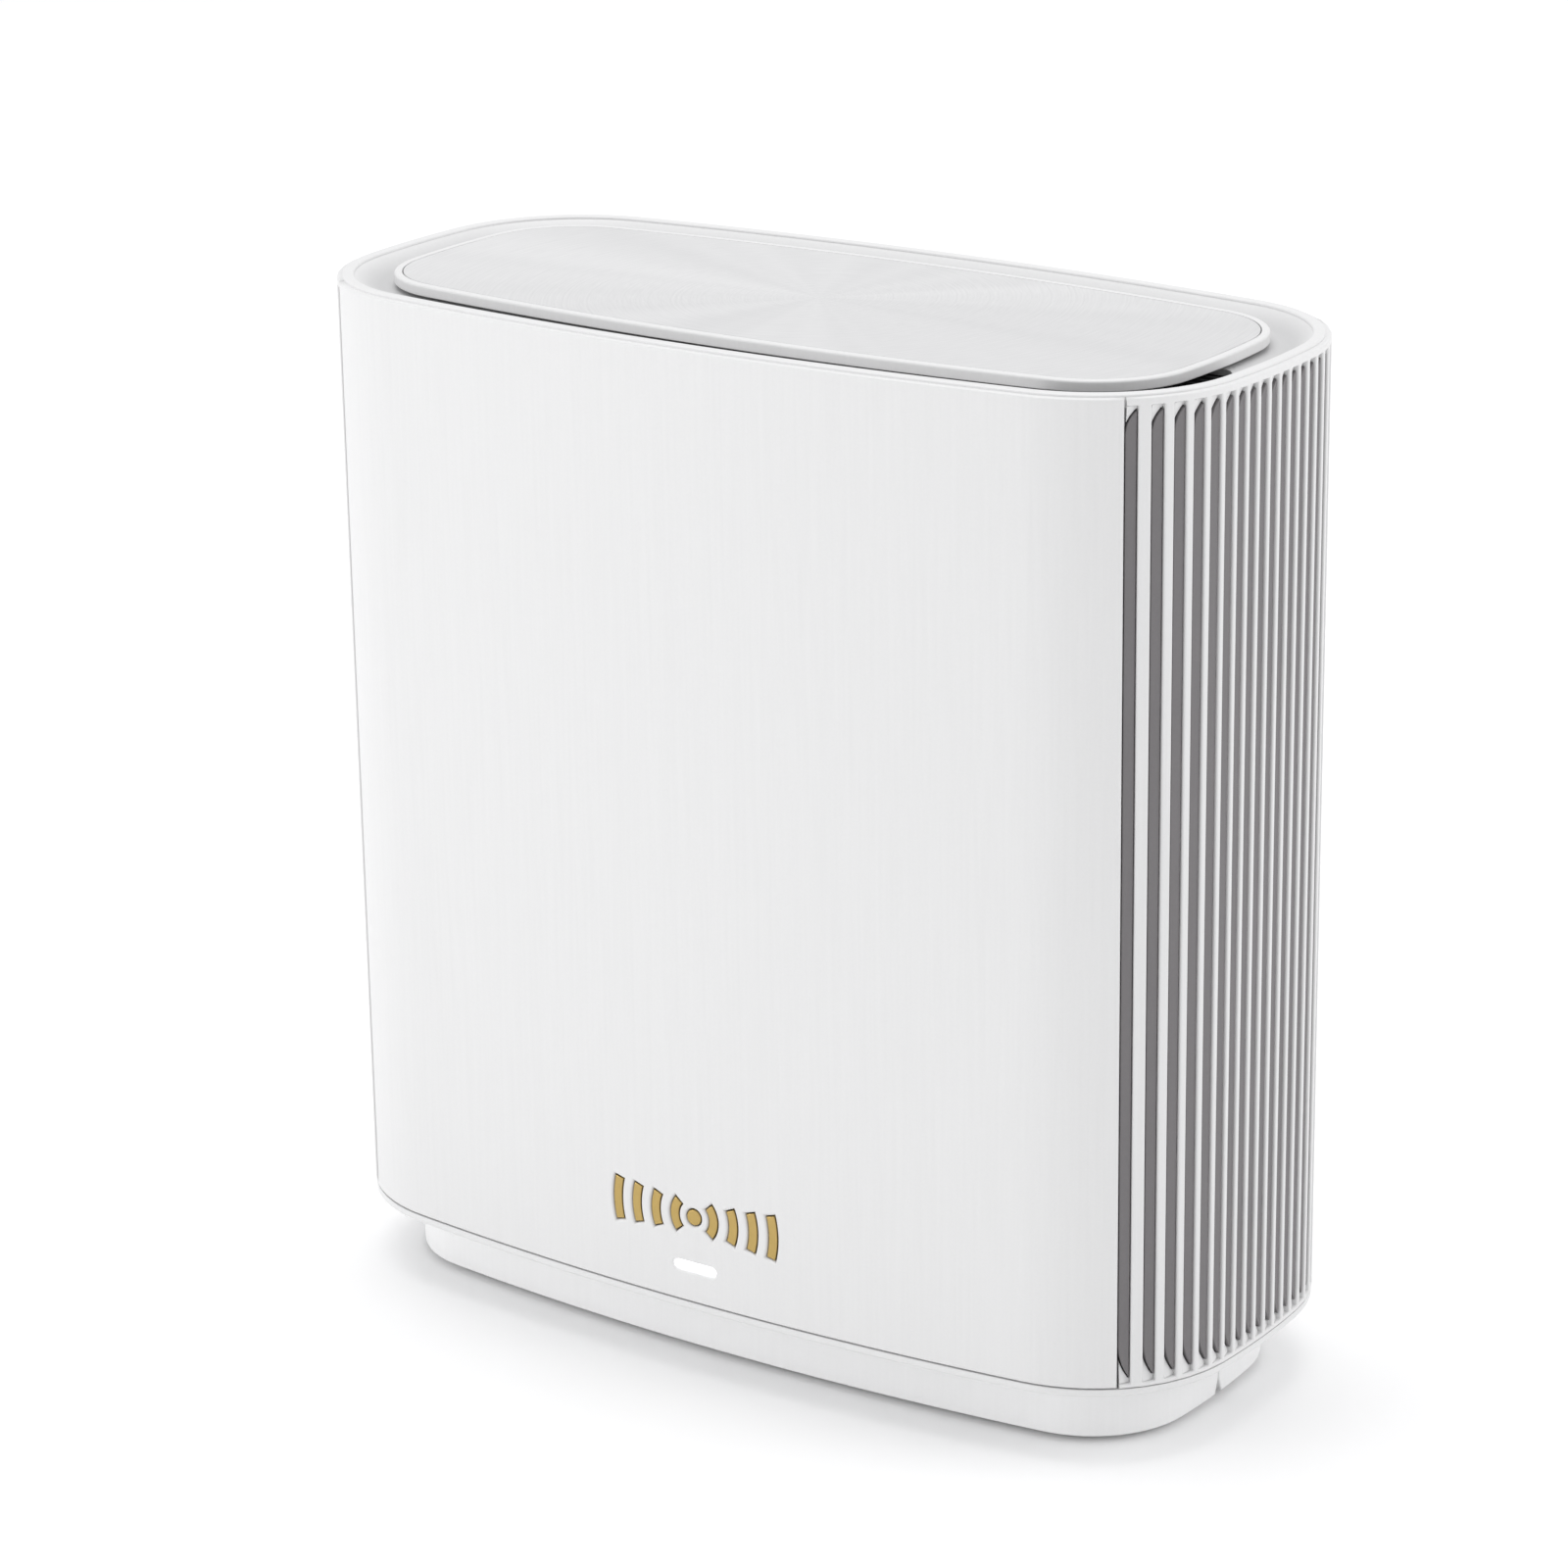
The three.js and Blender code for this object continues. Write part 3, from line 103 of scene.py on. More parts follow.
# %% The plan outline
class Outline:
    """Arcs for a quarter of the outline, mirrored twice. Distances run from the middle of the front."""

    def __init__(self):
        self.front = Vector((0.0, FRONT_RADIUS - depth / 2))
        self.end = Vector((width / 2 - END_RADIUS, 0.0))
        reach_front = FRONT_RADIUS - CORNER_RADIUS
        reach_end = END_RADIUS - CORNER_RADIUS
        between = self.end - self.front
        span = between.length
        along = (reach_front ** 2 - reach_end ** 2 + span ** 2) / (2 * span)
        aside = math.sqrt(reach_front ** 2 - along ** 2)
        ahead = between / span
        self.corner = self.front + ahead * along + Vector((-ahead.y, ahead.x)) * aside
        to_corner = self.corner - self.front
        from_end = self.corner - self.end
        self.corner_start = math.atan2(to_corner.y, to_corner.x)
        self.corner_stop = math.atan2(from_end.y, from_end.x)
        self.front_run = FRONT_RADIUS * (self.corner_start + math.pi / 2)
        self.corner_run = CORNER_RADIUS * (self.corner_stop - self.corner_start)
        self.quarter = self.front_run + self.corner_run - END_RADIUS * self.corner_stop

    def first_quarter(self, along, inset):
        """The point and outward direction on the quarter from the front's middle to the right end."""
        if along <= self.front_run:
            centre, radius, angle = self.front, FRONT_RADIUS, along / FRONT_RADIUS - math.pi / 2
        elif along <= self.front_run + self.corner_run:
            centre, radius = self.corner, CORNER_RADIUS
            angle = self.corner_start + (along - self.front_run) / CORNER_RADIUS
        else:
            centre, radius = self.end, END_RADIUS
            angle = self.corner_stop + (along - self.front_run - self.corner_run) / END_RADIUS
        outward = Vector((math.cos(angle), math.sin(angle)))
        return centre + outward * (radius - inset), outward

    def at(self, along, inset=0.0):
        """The point and outward direction anywhere round the outline, anticlockwise from above."""
        number, within = divmod(along, self.quarter)
        quarter = int(number) % 4
        if quarter % 2:
            within = self.quarter - within
        point, outward = self.first_quarter(within, inset)
        flip = Vector((-1 if quarter in (2, 3) else 1, -1 if quarter in (1, 2) else 1))
        return point * flip, outward * flip

    def search(self, far, short_of):
        """The distance round, from 0 up to far, at which a point stops being short of some mark."""
        low, high = 0.0, far
        for _ in range(40):
            middle = (low + high) / 2
            if short_of(self.at(middle)[0]):
                low = middle
            else:
                high = middle
        return low

    def along_at_x(self, x):
        """How far round the front the outline reaches this X."""
        return self.search(self.quarter, lambda point: point.x < x)


outline = Outline()
print("quarter of the outline: %.2f mm" % outline.quarter)

# %% [markdown]
# Shader maths reads best as ordinary sums. `Wire` wraps a node's output so that `mask * 0.5 + 1`
# adds the Math nodes, and `Finish` holds one material. Its `node` method adds any other node from
# its type, its settings and the values or wires of its sockets.

# %% Shader expressions
class Wire:
    """A node output that can be used in arithmetic."""

    def __init__(self, finish, socket):
        self.finish = finish
        self.socket = socket

    def math(self, operation, *values):
        return self.finish.node("ShaderNodeMath", {"operation": operation}, dict(enumerate(values)))

    def __add__(self, other):
        return self.math("ADD", self, other)

    def __radd__(self, other):
        return self.math("ADD", other, self)

    def __sub__(self, other):
        return self.math("SUBTRACT", self, other)

    def __rsub__(self, other):
        return self.math("SUBTRACT", other, self)

    def __mul__(self, other):
        return self.math("MULTIPLY", self, other)

    def __truediv__(self, other):
        return self.math("DIVIDE", self, other)

    def clamped(self):
        return self.finish.node("ShaderNodeClamp", {}, {0: self})


class Finish:
    """One procedural material, built on a Principled shader."""

    def __init__(self, name, **constants):
        self.material = bpy.data.materials.new(name)
        self.material.use_nodes = True
        self.tree = self.material.node_tree
        self.shader = self.tree.nodes["Principled BSDF"]
        for socket, value in constants.items():
            self.shader.inputs[socket.replace("_", " ")].default_value = value

    def node(self, kind, settings, sockets, output=0):
        made = self.tree.nodes.new(kind)
        for key, value in settings.items():
            setattr(made, key, value)
        for key, value in sockets.items():
            self.plug(made.inputs[key], value)
        return Wire(self, made.outputs[output])

    def plug(self, socket, value):
        if isinstance(value, Wire):
            self.tree.links.new(value.socket, socket)
        else:
            socket.default_value = value

    def feed(self, **sockets):
        for key, value in sockets.items():
            self.plug(self.shader.inputs[key.replace("_", " ")], value)

    def place(self, scale=(1, 1, 1)):
        """The object's own coordinates, stretched so that a pattern can be finer one way."""
        where = self.node("ShaderNodeTexCoord", {}, {}, "Object")
        return self.vector("MULTIPLY", where, scale)

    def noise(self, scale, stretch=(1, 1, 1), detail=3.0):
        sockets = {"Vector": self.place(stretch), "Scale": scale, "Detail": detail, "Roughness": 0.55}
        return self.node("ShaderNodeTexNoise", {}, sockets)

    def vector(self, operation, *values, **named):
        """A Vector Math node, whose first result is a vector."""
        sockets = {**dict(enumerate(values)), **named}
        return self.node("ShaderNodeVectorMath", {"operation": operation}, sockets)

    def mix(self, factor, first, second):
        sockets = {"Factor": factor, 6: first, 7: second}
        return self.node("ShaderNodeMix", {"data_type": "RGBA"}, sockets, 2)

    def bump(self, height, strength, distance):
        sockets = {"Height": height, "Strength": strength, "Distance": distance}
        return self.node("ShaderNodeBump", {}, sockets)


def rgba(red, green, blue):
    return (red, green, blue, 1.0)


def grey(level):
    return rgba(level, level, level)


def shades(colour, spread):
    """A colour made darker and lighter by the same share."""
    return [rgba(*[min(1.0, value * share) for value in colour]) for share in (1 - spread, 1 + spread)]


# %% [markdown]
# The shell is satin moulded plastic. Up close it has a faint upright grain, like very fine
# brushing, and a slight mottle in its gloss. Both are noise: the grain is stretched along Z by
# scaling that direction down, and the mottle is left even. They change the colour by only a few
# percent, because white plastic shows any more than that as dirt. In the moat the same plastic
# gets a tone that deepens with the height, as a soft bowl gathers less light at its floor.

# %% Satin white shell
def satin_white(name, darkest, lightest, painted_shade_heights=None):
    """White plastic. `painted_shade_heights` is a pair of heights between which painted shade darkens its
    tone.
    """
    finish = Finish(name, Specular_IOR_Level=0.45, Coat_Roughness=0.35)
    brushed = finish.noise(1400.0, (1.0, 1.0, 0.03), 2.0)
    mottle = finish.noise(90.0, detail=4.0)
    speckle = finish.noise(2600.0, detail=1.0)
    tone = (brushed * 0.6 + speckle * 0.4).clamped()
    colour = finish.mix(tone, grey(darkest), grey(lightest))
    # Painted shade: the colour darkens from the higher height down to the lower one, as a bowl gathers less
    # light at its floor.
    if painted_shade_heights:
        high, low = painted_shade_heights
        height = finish.node("ShaderNodeSeparateXYZ", {}, {0: finish.place()}, "Z")
        shade_share = ((high * MM - height) / ((high - low) * MM)).clamped()
        colour = finish.mix(shade_share * 0.5, colour, rgba(0.42, 0.42, 0.425))
    relief = brushed * 0.7 + speckle * 0.3
    finish.feed(
        Base_Color=colour,
        Roughness=0.36 + mottle * 0.12 + brushed * 0.06,
        Coat_Weight=0.06 + mottle * 0.04,
        Normal=finish.bump(relief, 0.10, 0.00006),
    )
    return finish.material


shell_white = satin_white("satin_white_shell", 0.67, 0.73)
# The plinth's copy of the satin white is lighter than the shell's: painted light, so the plinth in the shade
# under the body shows as bright as the front.
plinth_lit_white = satin_white("satin_white_plinth_lit", 0.80, 0.86)
print("material", shell_white.name)

# %% [markdown]
# The lid's plate was spun under an abrasive: hair-fine rings run round its middle. Broad soft
# streaks fan out from it: these are painted sheen, the fan of highlights a spun finish throws,
# and they also vary the gloss. The distance from the middle drives the rings, and the angle
# round it drives the streaks. The rings also tilt the surface a little, which stretches the
# highlights across them as real spun finishes do.

# %% Spun lid plate
def spun_grey():
    finish = Finish("spun_grey_lid", Specular_IOR_Level=0.5)
    flat = finish.place((1, 1, 0))
    radius = finish.node("ShaderNodeVectorMath", {"operation": "LENGTH"}, {0: flat}, "Value")
    unit = finish.vector("NORMALIZE", flat)
    ring_spot = finish.node("ShaderNodeCombineXYZ", {}, {0: radius * 2600.0})
    rings = finish.node("ShaderNodeTexNoise", {}, {"Vector": ring_spot, "Scale": 1.0, "Detail": 3.0})
    # Painted sheen: broad streaks by angle round the middle, standing in for a spun finish's highlights.
    sheen_spot = finish.vector("SCALE", unit, Scale=2.4)
    sheen_and_gloss_streaks = finish.node("ShaderNodeTexNoise", {}, {"Vector": sheen_spot, "Scale": 1.0, "Detail": 2.0})
    hair_spot = finish.vector("ADD", finish.vector("SCALE", unit, Scale=9.0), ring_spot)
    hairs = finish.node("ShaderNodeTexNoise", {}, {"Vector": hair_spot, "Scale": 1.0, "Detail": 2.0})
    # The colour mixes the real rings and hairs with the streaks' painted sheen.
    tone = (rings * 0.35 + hairs * 0.25 + sheen_and_gloss_streaks * 0.4).clamped()
    contrast = ((tone - 0.5) * 1.9 + 0.5).clamped()
    colour = finish.mix(contrast, rgba(0.50, 0.50, 0.505), grey(0.715))
    finish.feed(
        Base_Color=colour,
        Roughness=0.26 + sheen_and_gloss_streaks * 0.2 + hairs * 0.08,
        Normal=finish.bump(rings * 0.6 + hairs * 0.4, 0.25, 0.00004),
    )
    return finish.material


lid_grey = spun_grey()
print("material", lid_grey.name)

# %% [markdown]
# The remaining plastics, rubber and metals share two recipes. A moulded part has a fine even
# texture from its tool. A drawn or rolled metal has scratches that run one way. Each finish
# below gives its own colour, gloss and grain to one of the two.

# %% Moulded and drawn finishes
def moulded(name, colour, roughness, scale=1800.0, depth_mm=0.04, spread=0.12):
    finish = Finish(name)
    texture = finish.noise(scale, detail=3.0)
    cloud = finish.noise(70.0, detail=3.0)
    finish.feed(
        Base_Color=finish.mix((texture * 0.5 + cloud * 0.5).clamped(), *shades(colour, spread)),
        Roughness=roughness - 0.06 + cloud * 0.12,
        Normal=finish.bump(texture, 0.3, depth_mm * MM),
    )
    return finish.material


def drawn(name, colour, roughness, stretch, spread=0.10, depth_mm=0.01):
    finish = Finish(name, Metallic=1.0)
    lines = finish.noise(900.0, stretch, 3.0)
    cloud = finish.noise(120.0, detail=3.0)
    finish.feed(
        Base_Color=finish.mix((lines * 0.6 + cloud * 0.4).clamped(), *shades(colour, spread)),
        Roughness=roughness - 0.05 + lines * 0.14,
        Normal=finish.bump(lines, 0.2, depth_mm * MM),
    )
    return finish.material


liner_grey = moulded("liner_grey", (0.16, 0.152, 0.156), 0.6)
bay_black = moulded("bay_black", (0.022, 0.022, 0.024), 0.5)
jack_black = moulded("jack_black", (0.016, 0.016, 0.017), 0.38)
# Near-black painted shade for the inside of the vents: the louvres and the well under them take it for the
# shade there.
vent_painted_shade = moulded("vent_painted_shade", (0.03, 0.03, 0.032), 0.7)
bottom_white = moulded("bottom_white", (0.72, 0.725, 0.735), 0.5, 1500.0, 0.05, 0.04)
cap_grey = moulded("cap_grey", (0.52, 0.53, 0.55), 0.42, 1600.0, 0.03, 0.05)
cap_black = moulded("cap_black", (0.028, 0.028, 0.03), 0.34, 2200.0, 0.02)
jack_blue = moulded("jack_blue", (0.015, 0.09, 0.30), 0.4)
lamp_clear = moulded("lamp_clear", (0.50, 0.52, 0.46), 0.22, 900.0, 0.02)
foot_rubber = moulded("foot_rubber", (0.20, 0.20, 0.205), 0.85, 900.0, 0.08)
pad_blue = moulded("pad_blue", (0.20, 0.33, 0.47), 0.8, 500.0, 0.1)
badge_gold = drawn("badge_gold", (0.47, 0.335, 0.122), 0.34, (1.0, 1.0, 0.05), 0.08)
contact_gold = drawn("contact_gold", (0.80, 0.58, 0.22), 0.28, (0.1, 1.0, 1.0))
tinplate = drawn("tinplate", (0.62, 0.62, 0.60), 0.30, (0.05, 1.0, 1.0))
sink_metal = drawn("sink_metal", (0.60, 0.61, 0.62), 0.38, (1.0, 1.0, 0.04))
screw_steel = drawn("screw_steel", (0.40, 0.40, 0.41), 0.35, (1.0, 0.2, 1.0))
antenna_copper = drawn("antenna_copper", (0.62, 0.30, 0.14), 0.4, (1.0, 1.0, 0.1))
print("materials so far:", len(bpy.data.materials))

# %% [markdown]
# Every moulded piece here is the same kind of thing: a flat outline, perhaps with windows in it,
# that has a thickness and slightly rounded edges, and that is wrapped onto some surface. One
# builder makes them all. It triangulates the outline, rounds the edges with a few rings of faces
# that turn through a quarter circle, and closes the back. Because each ring's direction is known,
# the normals are set exactly, so broad faces stay flat and only the edges catch the light.

# %% Turning lists of points into a mesh
def make_mesh(name, points, normals, faces, material, body="housing", slot=None, stands_for=None):
    """A mesh object from points in millimetres. Each face is turned to agree with its normals."""
    ordered = []
    for face in faces:
        corners = [Vector(points[index]) for index in face]
        across = (corners[1] - corners[0]).cross(corners[2] - corners[0])
        facing = sum((Vector(normals[index]) for index in face), Vector())
        ordered.append(tuple(face) if across.dot(facing) >= 0 else tuple(reversed(face)))
    mesh = bpy.data.meshes.new(name)
    mesh.from_pydata([tuple(value * MM for value in point) for point in points], [], ordered)
    mesh.shade_smooth()
    mesh.normals_split_custom_set_from_vertices([Vector(normal).normalized() for normal in normals])
    piece = bpy.data.objects.new(name, mesh)
    bpy.context.scene.collection.objects.link(piece)
    mesh.materials.append(material)
    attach(piece, body)
    mark_piece(stands_for)
    return piece


def mark_piece(stands_for=None):
    """Hide the frame node that a piece replaces, if one is given."""
    if stands_for:
        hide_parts(stands_for)


def joined(name, pieces, stands_for=None):
    """Several meshes made one, which keeps the list of pieces as short as the real one."""
    with bpy.context.temp_override(active_object=pieces[0], selected_editable_objects=pieces):
        bpy.ops.object.join()
    pieces[0].name = name
    mark_piece(stands_for)
    return pieces[0]


def add_block(points, normals, faces, near, far):
    """A solid between two four-cornered ends, each side with its own points so its edges stay crisp."""
    middle = [sum(end, Vector()) / 4 for end in (near, far)]
    ahead = middle[1] - middle[0]
    sides = [(near, -ahead), (far, ahead)]
    for index in range(4):
        after = (index + 1) % 4
        away = (near[index] + near[after]) / 2 - middle[0]
        sides.append(([near[index], near[after], far[after], far[index]], away))
    for corners, away in sides:
        start = len(points)
        points += [tuple(corner) for corner in corners]
        normals += [tuple(away)] * 4
        faces.append((start, start + 1, start + 2, start + 3))


# %% Outlines with windows
def signed_area(loop):
    return sum(a[0] * b[1] - b[0] * a[1] for a, b in zip(loop, loop[1:] + loop[:1])) / 2


def turned(loop, anticlockwise):
    return loop if (signed_area(loop) > 0) == anticlockwise else loop[::-1]


def divided(loop, longest):
    """The same loop with points added so that no side is longer than this."""
    result = []
    for start, stop in zip(loop, loop[1:] + loop[:1]):
        count = max(1, math.ceil(math.dist(start, stop) / longest - 1e-6))
        for index in range(count):
            share = index / count
            result.append((start[0] + (stop[0] - start[0]) * share, start[1] + (stop[1] - start[1]) * share))
    return result


def loop_directions(loop):
    """For each point, the unit direction away from the material and how far a unit step must reach."""
    count = len(loop)
    result = []
    for index in range(count):
        before, here, after = loop[index - 1], loop[index], loop[(index + 1) % count]
        sides = []
        for a, b in ((before, here), (here, after)):
            length = math.dist(a, b)
            sides.append(((b[1] - a[1]) / length, (a[0] - b[0]) / length))
        x, y = sides[0][0] + sides[1][0], sides[0][1] + sides[1][1]
        size = math.hypot(x, y) or 1.0
        x, y = x / size, y / size
        reach = min(1.6, 1.0 / max(0.2, x * sides[0][0] + y * sides[0][1]))
        result.append((x, y, reach))
    return result


def inside(points, loops):
    """Which points lie inside an odd number of the loops."""
    points = np.asarray(points, dtype=float)
    crossed = np.zeros(len(points), dtype=bool)
    for loop in loops:
        start = np.asarray(loop, dtype=float)
        stop = np.roll(start, -1, axis=0)
        for (x0, y0), (x1, y1) in zip(start, stop):
            if y0 == y1:
                continue
            spans = (points[:, 1] >= min(y0, y1)) & (points[:, 1] < max(y0, y1))
            at = x0 + (points[:, 1] - y0) * (x1 - x0) / (y1 - y0)
            crossed ^= spans & (points[:, 0] < at)
    return crossed


def triangles(loops, grid):
    """Triangles over the loops' inside, through the grid points that are clear of every edge."""
    flat = [Vector(point) for loop in loops for point in loop]
    edges, start = [], 0
    for loop in loops:
        count = len(loop)
        edges += [(start + index, start + (index + 1) % count) for index in range(count)]
        start += count
    flat += [Vector(point) for point in grid]
    spots, _, faces, origins, _, _ = delaunay_2d_cdt(flat, edges, [], 0, 1e-6, True)
    middles = [sum((spots[index] for index in face), Vector((0, 0))) / 3 for face in faces]
    keep = inside(middles, loops)
    return [tuple(origins[index][0] for index in face) for face, kept in zip(faces, keep) if kept]


def grid_points(loops, step, margin):
    xs = [point[0] for point in loops[0]]
    ys = [point[1] for point in loops[0]]
    across = max(1, round((max(xs) - min(xs)) / step[0]))
    up = max(1, round((max(ys) - min(ys)) / step[1]))
    spots = np.array([
        (min(xs) + (max(xs) - min(xs)) * column / across, min(ys) + (max(ys) - min(ys)) * row / up)
        for row in range(1, up) for column in range(1, across)
    ]).reshape(-1, 2)
    if not len(spots):
        return []
    spots = spots[inside(spots, loops)]
    rim = np.array([point for loop in loops for point in loop])
    clear = [np.min(np.hypot(*(rim - spot).T)) > margin for spot in spots]
    return [tuple(spot) for spot, free in zip(spots, clear) if free]


# %% The moulding builder
def moulding(name, outer, holes, thickness, rounding, surface, material, longest=5.0, step=(4.0, 8.0),
             back_rounding=0.15, segments=3, **extra):
    """A rounded, windowed plate. surface(u, v, depth) gives a point and the directions u, v and out."""
    loops = [divided(turned(outer, True), longest)]
    loops += [divided(turned(hole, False), longest) for hole in holes]
    ways = [loop_directions(loop) for loop in loops]

    def shrunk(amount):
        return [
            [(x - dx * reach * amount, y - dy * reach * amount) for (x, y), (dx, dy, reach) in zip(loop, way)]
            for loop, way in zip(loops, ways)
        ]

    grid = grid_points(shrunk(rounding), step, min(step) * 0.4)
    points, normals, faces = [], [], []

    def add(u, v, depth, lean, way=(0.0, 0.0)):
        place, along, up, out = surface(u, v, depth)
        normal = out * math.cos(lean) + (along * way[0] + up * way[1]) * math.sin(lean)
        points.append(tuple(place))
        normals.append(tuple(normal))

    leans = [math.pi / 2 * index / segments for index in range(segments + 1)]
    rings = [(rounding * (1 - math.sin(lean)), rounding * (1 - math.cos(lean)), lean) for lean in leans]
    for lean in (math.pi / 2, 3 * math.pi / 4, math.pi):
        deep = thickness - back_rounding * (1 + math.cos(lean))
        rings.append((back_rounding * (1 - math.sin(lean)), deep, lean))
    ring_starts = []
    for amount, deep, lean in rings:
        ring_starts.append(len(points))
        for loop, way in zip(shrunk(amount), ways):
            for (x, y), (dx, dy, _) in zip(loop, way):
                add(x, y, deep, lean, (dx, dy))
    front_grid = len(points)
    for x, y in grid:
        add(x, y, 0.0, 0.0)
    back_grid = len(points)
    for x, y in grid:
        add(x, y, thickness, math.pi)
    for first, second in zip(ring_starts, ring_starts[1:]):
        start = 0
        for loop in loops:
            count = len(loop)
            for index in range(count):
                here, after = start + index, start + (index + 1) % count
                faces.append((first + here, first + after, second + after, second + here))
            start += count
    rim_count = sum(len(loop) for loop in loops)
    for face in triangles(shrunk(rounding), grid):
        faces.append([index if index < rim_count else front_grid + index - rim_count for index in face])
        faces.append([
            ring_starts[-1] + index if index < rim_count else back_grid + index - rim_count for index in face
        ])
    return make_mesh(name, points, normals, faces, material, **extra)


# %% Surfaces to wrap onto
def wall_surface(inset=0.0):
    """The body's upright wall: u runs round the outline, v is the height, depth goes in."""

    def surface(u, v, deep):
        point, outward = outline.at(u, inset + deep)
        out = Vector((outward.x, outward.y, 0))
        return Vector((point.x, point.y, v)), Vector((-outward.y, outward.x, 0)), Vector((0, 0, 1)), out

    return surface


def flat_surface(origin, along, up):
    """A flat face through origin, whose front looks along the cross product of along and up."""
    origin, along, up = Vector(origin), Vector(along), Vector(up)
    out = along.cross(up)

    def surface(u, v, deep):
        return origin + along * u + up * v - out * deep, along, up, out

    return surface


def rectangle(low_u, low_v, high_u, high_v, radius=0.0, segments=5):
    """A rectangle's corners, anticlockwise, rounded if a radius is given."""
    if radius <= 0:
        return [(low_u, low_v), (high_u, low_v), (high_u, high_v), (low_u, high_v)]
    centres = [(high_u - radius, low_v + radius, -90), (high_u - radius, high_v - radius, 0),
               (low_u + radius, high_v - radius, 90), (low_u + radius, low_v + radius, 180)]
    return [
        (x + radius * math.cos(math.radians(start + 90 * index / segments)),
         y + radius * math.sin(math.radians(start + 90 * index / segments)))
        for x, y, start in centres for index in range(segments + 1)
    ]


def centred(u, v, half_u, half_v, radius=0.0, segments=5):
    return rectangle(u - half_u, v - half_v, u + half_u, v + half_v, radius, segments)


def circle(x, y, radius, count):
    turns = [2 * math.pi / count * index for index in range(count)]
    return [(x + radius * math.cos(turn), y + radius * math.sin(turn)) for turn in turns]


# %% [markdown]
# ## Front cover
# The front cover is one thin bowed shell. It is pierced by the mark's windows and by a slim slot
# for the status light. Its edges are rounded by half a millimetre, which is what draws the fine
# bright line where it meets its neighbours. The mark is a plain broadcast sign: a dot with four
# arcs spreading to each side. Each stroke is a closed outline; grown a little it becomes the
# window, and at its own size it becomes the gold inlay.

# %% Outline of the mark and the light
MARK_LEVEL = 27.0
MARK_HALF_WIDTH = 15.5
MARK_HALF_HEIGHT = 4.25
MARK_STROKE = 1.5
MARK_ARCS = 4
MARK_DOT = 1.3
LIGHT_LEVEL = 18.5
LIGHT_WIDTH = 7.6
LIGHT_BAR = 1.2


def arc_band(middle, half, inner, outer, count=14):
    """A stroke that follows an arc: out along its far side and back along its near side."""
    turns = [middle - half + 2 * half * index / count for index in range(count + 1)]
    far = [(outer * math.cos(turn), MARK_LEVEL + outer * math.sin(turn)) for turn in turns]
    near = [(inner * math.cos(turn), MARK_LEVEL + inner * math.sin(turn)) for turn in reversed(turns)]
    return far + near


def mark_strokes(grow):
    spacing = (MARK_HALF_WIDTH - MARK_STROKE / 2) / MARK_ARCS
    strokes = [circle(0, MARK_LEVEL, MARK_DOT + grow, 24)]
    for index in range(1, MARK_ARCS + 1):
        radius = spacing * index
        rise = (MARK_HALF_HEIGHT - MARK_STROKE / 2) * (0.55 + 0.45 * index / MARK_ARCS)
        half = math.asin(rise / radius) + grow / radius
        thick = MARK_STROKE / 2 + grow
        for facing in (0, math.pi):
            strokes.append(arc_band(facing, half, radius - thick, radius + thick))
    return strokes


def light_outline(grow):
    half, half_bar = LIGHT_WIDTH / 2 + grow, LIGHT_BAR / 2 + grow
    return centred(0, LIGHT_LEVEL, half, half_bar, half_bar - 0.01)


# %% [markdown]
# The side grilles start where the covers stop. Their slots are evenly spaced across the end, so
# round the corner they crowd together less than on the flat. The cover's edge closes the first
# slot, which is why the edge is worked out from the slots.

# %% Slot places
SLOT_COUNT = 20
SLOT_PITCH = 2.9
SLOT_WIDTH = 2.0
SLOT_RISE_TOP = 3.8
SLOT_RISE_FOOT = 5.6
SLOT_LOW = body_low + 2.6
SLOT_HIGH = cover_top - 1.6


def slot_place(index):
    """How far round the outline the middle of a slot is, on the right-hand end."""
    target = SLOT_PITCH * (index - (SLOT_COUNT - 1) / 2)
    return outline.search(2 * outline.quarter, lambda point: point.y < target)


slot_places = [slot_place(index) for index in range(SLOT_COUNT)]
cover_edge = slot_places[0] - SLOT_WIDTH / 2
print("cover edge %.2f mm from the middle, first slot at %.1f" % (cover_edge, slot_places[0]))

# %% Front cover
FRONT_SEAM = 0.18
WINDOW_GAP = 0.18
front_cover = moulding(
    "front_cover_shell",
    rectangle(-cover_edge, LIP_TOP + FRONT_SEAM, cover_edge, cover_top),
    mark_strokes(WINDOW_GAP) + [light_outline(WINDOW_GAP)],
    WALL, EDGE_ROUND, wall_surface(), shell_white, longest=2.5, step=(3.0, 6.0),
    slot="satin_white", stands_for="front_cover",
)
print("front cover", len(front_cover.data.vertices), "vertices")

# %% [markdown]
# ## Base lip and rear cover
# A narrow lip runs right round the foot of the body, and the covers and grilles stand on it. It
# is the same line all the way, so it is one ring swept round the outline. The rear cover is the
# front cover's twin, with one big window low down for the port bay.

# %% Swept rings
SHARPEST = 0.02


def rounded_corner(before, here, after, segments=4):
    """Points and outward normals round one (across, up, radius) corner of an anticlockwise section."""
    spot = Vector(here[:2])
    back, ahead = (Vector(before[:2]) - spot).normalized(), (Vector(after[:2]) - spot).normalized()
    half = back.angle(ahead) / 2
    radius = max(here[2], SHARPEST)
    centre = spot + (back + ahead).normalized() * (radius / math.sin(half))
    start = spot + back * (radius / math.tan(half)) - centre
    stop = spot + ahead * (radius / math.tan(half)) - centre
    sweep = start.angle_signed(stop)
    side = 1 if back.x * ahead.y - back.y * ahead.x < 0 else -1
    result = []
    for index in range(segments + 1):
        spoke = start.copy()
        spoke.rotate(Matrix.Rotation(-sweep * index / segments, 2))
        result.append((centre + spoke, spoke.normalized() * side))
    return result


